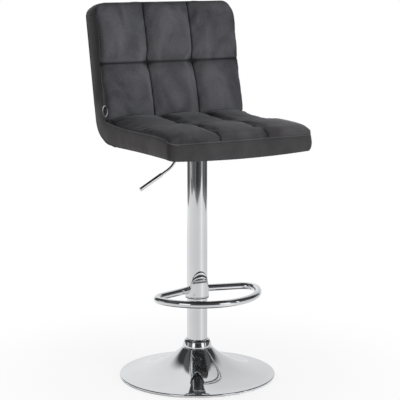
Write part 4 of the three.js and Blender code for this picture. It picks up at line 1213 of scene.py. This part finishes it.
# The studio as metal shows it, by bearing: thousandths of a full turn from -X by way of -Y, with a grey in
# thousandths. The camera stands at 166.
NEAR_FLOOR = [
    (0, 720), (69, 680), (166, 660), (225, 680), (270, 760), (298, 900), (318, 900), (345, 760), (413, 700),
    (470, 660), (520, 700), (580, 920), (666, 1020), (760, 980), (844, 860), (900, 780), (961, 730), (1000, 720),
]
# Close behind the stool that floor is dimmer, as the flat of the base shows it
BEHIND_DIMMED = [(0, 1000), (500, 1000), (560, 800), (780, 800), (840, 1000), (1000, 1000)]
FAR_END = [
    (6.6, 180), (35, 140), (69, 70), (105, 165), (134, 60), (166, 30), (230, 60), (283, 120), (305, 400),
    (329, 400), (355, 110), (436, 120), (489, 45), (546, 120), (588, 620), (640, 700), (680, 820), (744, 800),
    (786, 120), (843, 90), (896, 100), (926, 420), (955, 420), (981, 100), (1000, 170),
]
# The same dark higher up, with the light wall behind the stool
HIGH_UP = [(0, 45), (530, 45), (580, 600), (640, 700), (680, 820), (744, 800), (790, 45), (1000, 45)]
# Where the white floor ends and that dark begins, in thousandths of FLOOR_SPAN
FLOOR_SPAN = 4.0
FLOOR_EDGE = [
    (6.6, 662), (45, 700), (85, 688), (118, 638), (166, 605), (214, 638), (263, 688), (314, 800), (352, 650),
    (413, 612), (489, 562), (560, 640), (600, 1000), (730, 1000), (786, 612), (843, 588), (896, 638), (940, 738),
    (981, 675), (1000, 662),
]
# Tall lamps that metal shows in the dark beside the camera: the bearing, half the width, and how high they reach
TALL_LAMPS = [(0.083, 0.032, 0.46), (0.298, 0.032, 0.46), (0.372, 0.01, 0.4)]
CEILING_AIM = (-0.172, -0.2955, 0.94)
WHITE = (1, 1, 1)


def math_node(tree, operation, first, second=0.0):
    return add_node(tree, "ShaderNodeMath", 0, first, second, operation=operation)


def step_node(tree, value, start, end, low=0.0, high=1.0):
    """A smooth change from low to high as a value passes from start to end."""
    return add_node(
        tree, "ShaderNodeMapRange", "Result", interpolation_type="SMOOTHSTEP",
        Value=value, From_Min=start, From_Max=end, To_Min=low, To_Max=high,
    )


def blend(tree, share, first, second):
    """One colour going over into another."""
    first, second = ((*c, 1) if isinstance(c, tuple) else c for c in (first, second))
    return add_node(tree, "ShaderNodeMix", "Result", data_type="RGBA", Factor=share, A=first, B=second)


def table(tree, bearing, stops):
    """The grey that one of the tables gives for a bearing."""
    greys = [(place / 1000, (grey / 1000, grey / 1000, grey / 1000 * 1.01, 1)) for place, grey in stops]
    return ramp(tree, bearing, greys, "EASE")


def bearing_of(tree, vector):
    """The bearing of a direction or place, and its height."""
    parts = tree.nodes.new("ShaderNodeSeparateXYZ")
    tree.links.new(vector, parts.inputs[0])
    angle = math_node(tree, "ARCTAN2", parts.outputs["Y"], parts.outputs["X"])
    return math_node(tree, "ADD", math_node(tree, "DIVIDE", angle, 2 * pi), 0.5), parts.outputs["Z"]


def rays_of(tree):
    """1 for the camera's rays, for what metal shows, and for both with what glass lets through."""
    rays = tree.nodes.new("ShaderNodeLightPath").outputs
    camera, glossy = rays["Is Camera Ray"], rays["Is Glossy Ray"]
    seen = math_node(tree, "MAXIMUM", math_node(tree, "MAXIMUM", camera, glossy), rays["Is Transmission Ray"])
    return camera, glossy, seen


def cleared(owner):
    owner.use_nodes = True
    owner.node_tree.nodes.clear()
    return owner.node_tree


def floor():
    """White to the camera with the stool's shadow, and the made-up studio's floor to metal."""
    radius, sides = 60, 96
    ring = [(radius * cos(a), radius * sin(a), -0.0002) for a in np.arange(sides) * 2 * pi / sides]
    mesh = bpy.data.meshes.new("floor")
    mesh.from_pydata(ring, [], [list(range(sides))])
    paint = bpy.data.materials.new("white_floor")
    mesh.materials.append(paint)
    tree = cleared(paint)
    place = add_node(tree, "ShaderNodeTexCoord", "Object")
    away = add_node(tree, "ShaderNodeVectorMath", "Value", place, operation="LENGTH")
    bearing, _ = bearing_of(tree, place)
    edge = math_node(tree, "MULTIPLY", table(tree, bearing, FLOOR_EDGE), FLOOR_SPAN)
    past = step_node(tree, away, edge, math_node(tree, "ADD", edge, 0.12))
    dark = math_node(tree, "MULTIPLY", past, step_node(tree, away, 2.6, 3.05, 0.8, 1))
    dimmed = math_node(tree, "MAXIMUM", table(tree, bearing, BEHIND_DIMMED), step_node(tree, away, 1.5, 2.5, 0.8, 1))
    white = table(tree, bearing, NEAR_FLOOR)
    near = add_node(tree, "ShaderNodeVectorMath", "Vector", white, operation="SCALE", Scale=dimmed)
    grey = blend(tree, dark, near, table(tree, bearing, FAR_END))
    _, glossy, seen = rays_of(tree)
    glow = add_node(tree, "ShaderNodeEmission", 0, Color=blend(tree, glossy, WHITE, grey))
    matte = add_node(tree, "ShaderNodeBsdfDiffuse", 0, Color=(0.86, 0.86, 0.86, 1))
    unseen = math_node(tree, "SUBTRACT", 1.0, seen)
    lit = add_node(tree, "ShaderNodeEmission", 0, Strength=math_node(tree, "MULTIPLY", unseen, 0.28))
    ground = add_node(tree, "ShaderNodeAddShader", 0, matte, lit)
    share = math_node(tree, "MULTIPLY", step_node(tree, away, 0.2, 0.75, 0.84, 1), seen)
    mix = add_node(tree, "ShaderNodeMixShader", 0, share, ground, glow)
    add_node(tree, "ShaderNodeOutputMaterial", None, mix)
    placed("floor", mesh)


def surroundings():
    """White to the camera, plain dim light on the stool, and to metal a dark studio with tall lamps."""
    world = bpy.data.worlds.new("studio")
    bpy.context.scene.world = world
    tree = cleared(world)
    direction = add_node(tree, "ShaderNodeTexCoord", "Generated")
    bearing, height = bearing_of(tree, direction)
    camera, _, seen = rays_of(tree)
    turn = add_node(tree, "ShaderNodeVectorMath", "Value", direction, CEILING_AIM, operation="DOT_PRODUCT")
    ceiling = blend(tree, step_node(tree, turn, 0.74, 0.95), (0.105, 0.105, 0.11), (0.03, 0.03, 0.032))
    walls = blend(
        tree, step_node(tree, height, 0.24, 0.36), table(tree, bearing, FAR_END), table(tree, bearing, HIGH_UP)
    )
    dome = blend(tree, step_node(tree, turn, 0.68, 0.73), walls, ceiling)
    for middle, half, reach in TALL_LAMPS:
        beside = math_node(tree, "ABSOLUTE", math_node(tree, "SUBTRACT", bearing, middle))
        across = step_node(tree, beside, half, half - 0.006)
        lit = math_node(tree, "MULTIPLY", across, step_node(tree, height, reach + 0.03, reach))
        dome = blend(tree, lit, dome, (1.15, 1.15, 1.15))
    plain = blend(tree, camera, dome, WHITE)
    strength = step_node(tree, height, 0, 0.9, 0.09, 0.035)
    ambient = add_node(tree, "ShaderNodeBackground", 0, Color=(1, 0.96, 0.975, 1), Strength=strength)
    shown = add_node(tree, "ShaderNodeBackground", 0, Color=plain)
    mix = add_node(tree, "ShaderNodeMixShader", 0, seen, ambient, shown)
    add_node(tree, "ShaderNodeOutputWorld", None, mix)


footrest()
collar()
set_screw()
lever()
up_normal, back_normal = (0, 0, 1), (0, -cos(SEAM_LEAN), sin(SEAM_LEAN))
seat_face = quilt(
    "seat_pad", seat_surface, SEAT_ROWS, up_normal, velvet_seat, ("seat_cover", "seat_foam"), seat_shading, 0.0025
)
back_face = quilt(
    "back_pad", back_surface, BACK_ROWS, back_normal, velvet, ("back_cover", "back_foam"), back_shading, 0.006
)
seams = boxing()
welts(*seams)
stitch_rows("seat_stitches", seat_face, up_normal)
stitch_rows("back_stitches", back_face, back_normal)
boxing_stitches(*seams)
rear_panel()
turned_under()
dust_cloth()
staples()
badge()
photo_camera()
lamp("key", 3.7, -66, 9, 38, (0.975, 0.985, 1))
lamp("from_behind", 3.6, 90, 8, 40, (1, 0.98, 0.98))
lamp("rear_right", 1.4, 60, 32, 40, (1, 0.98, 0.98))
lamp("left", 0.7, 190, 12, 60, (1, 0.97, 0.96))
floor()
surroundings()
bpy.context.scene.view_settings.view_transform = "Standard"
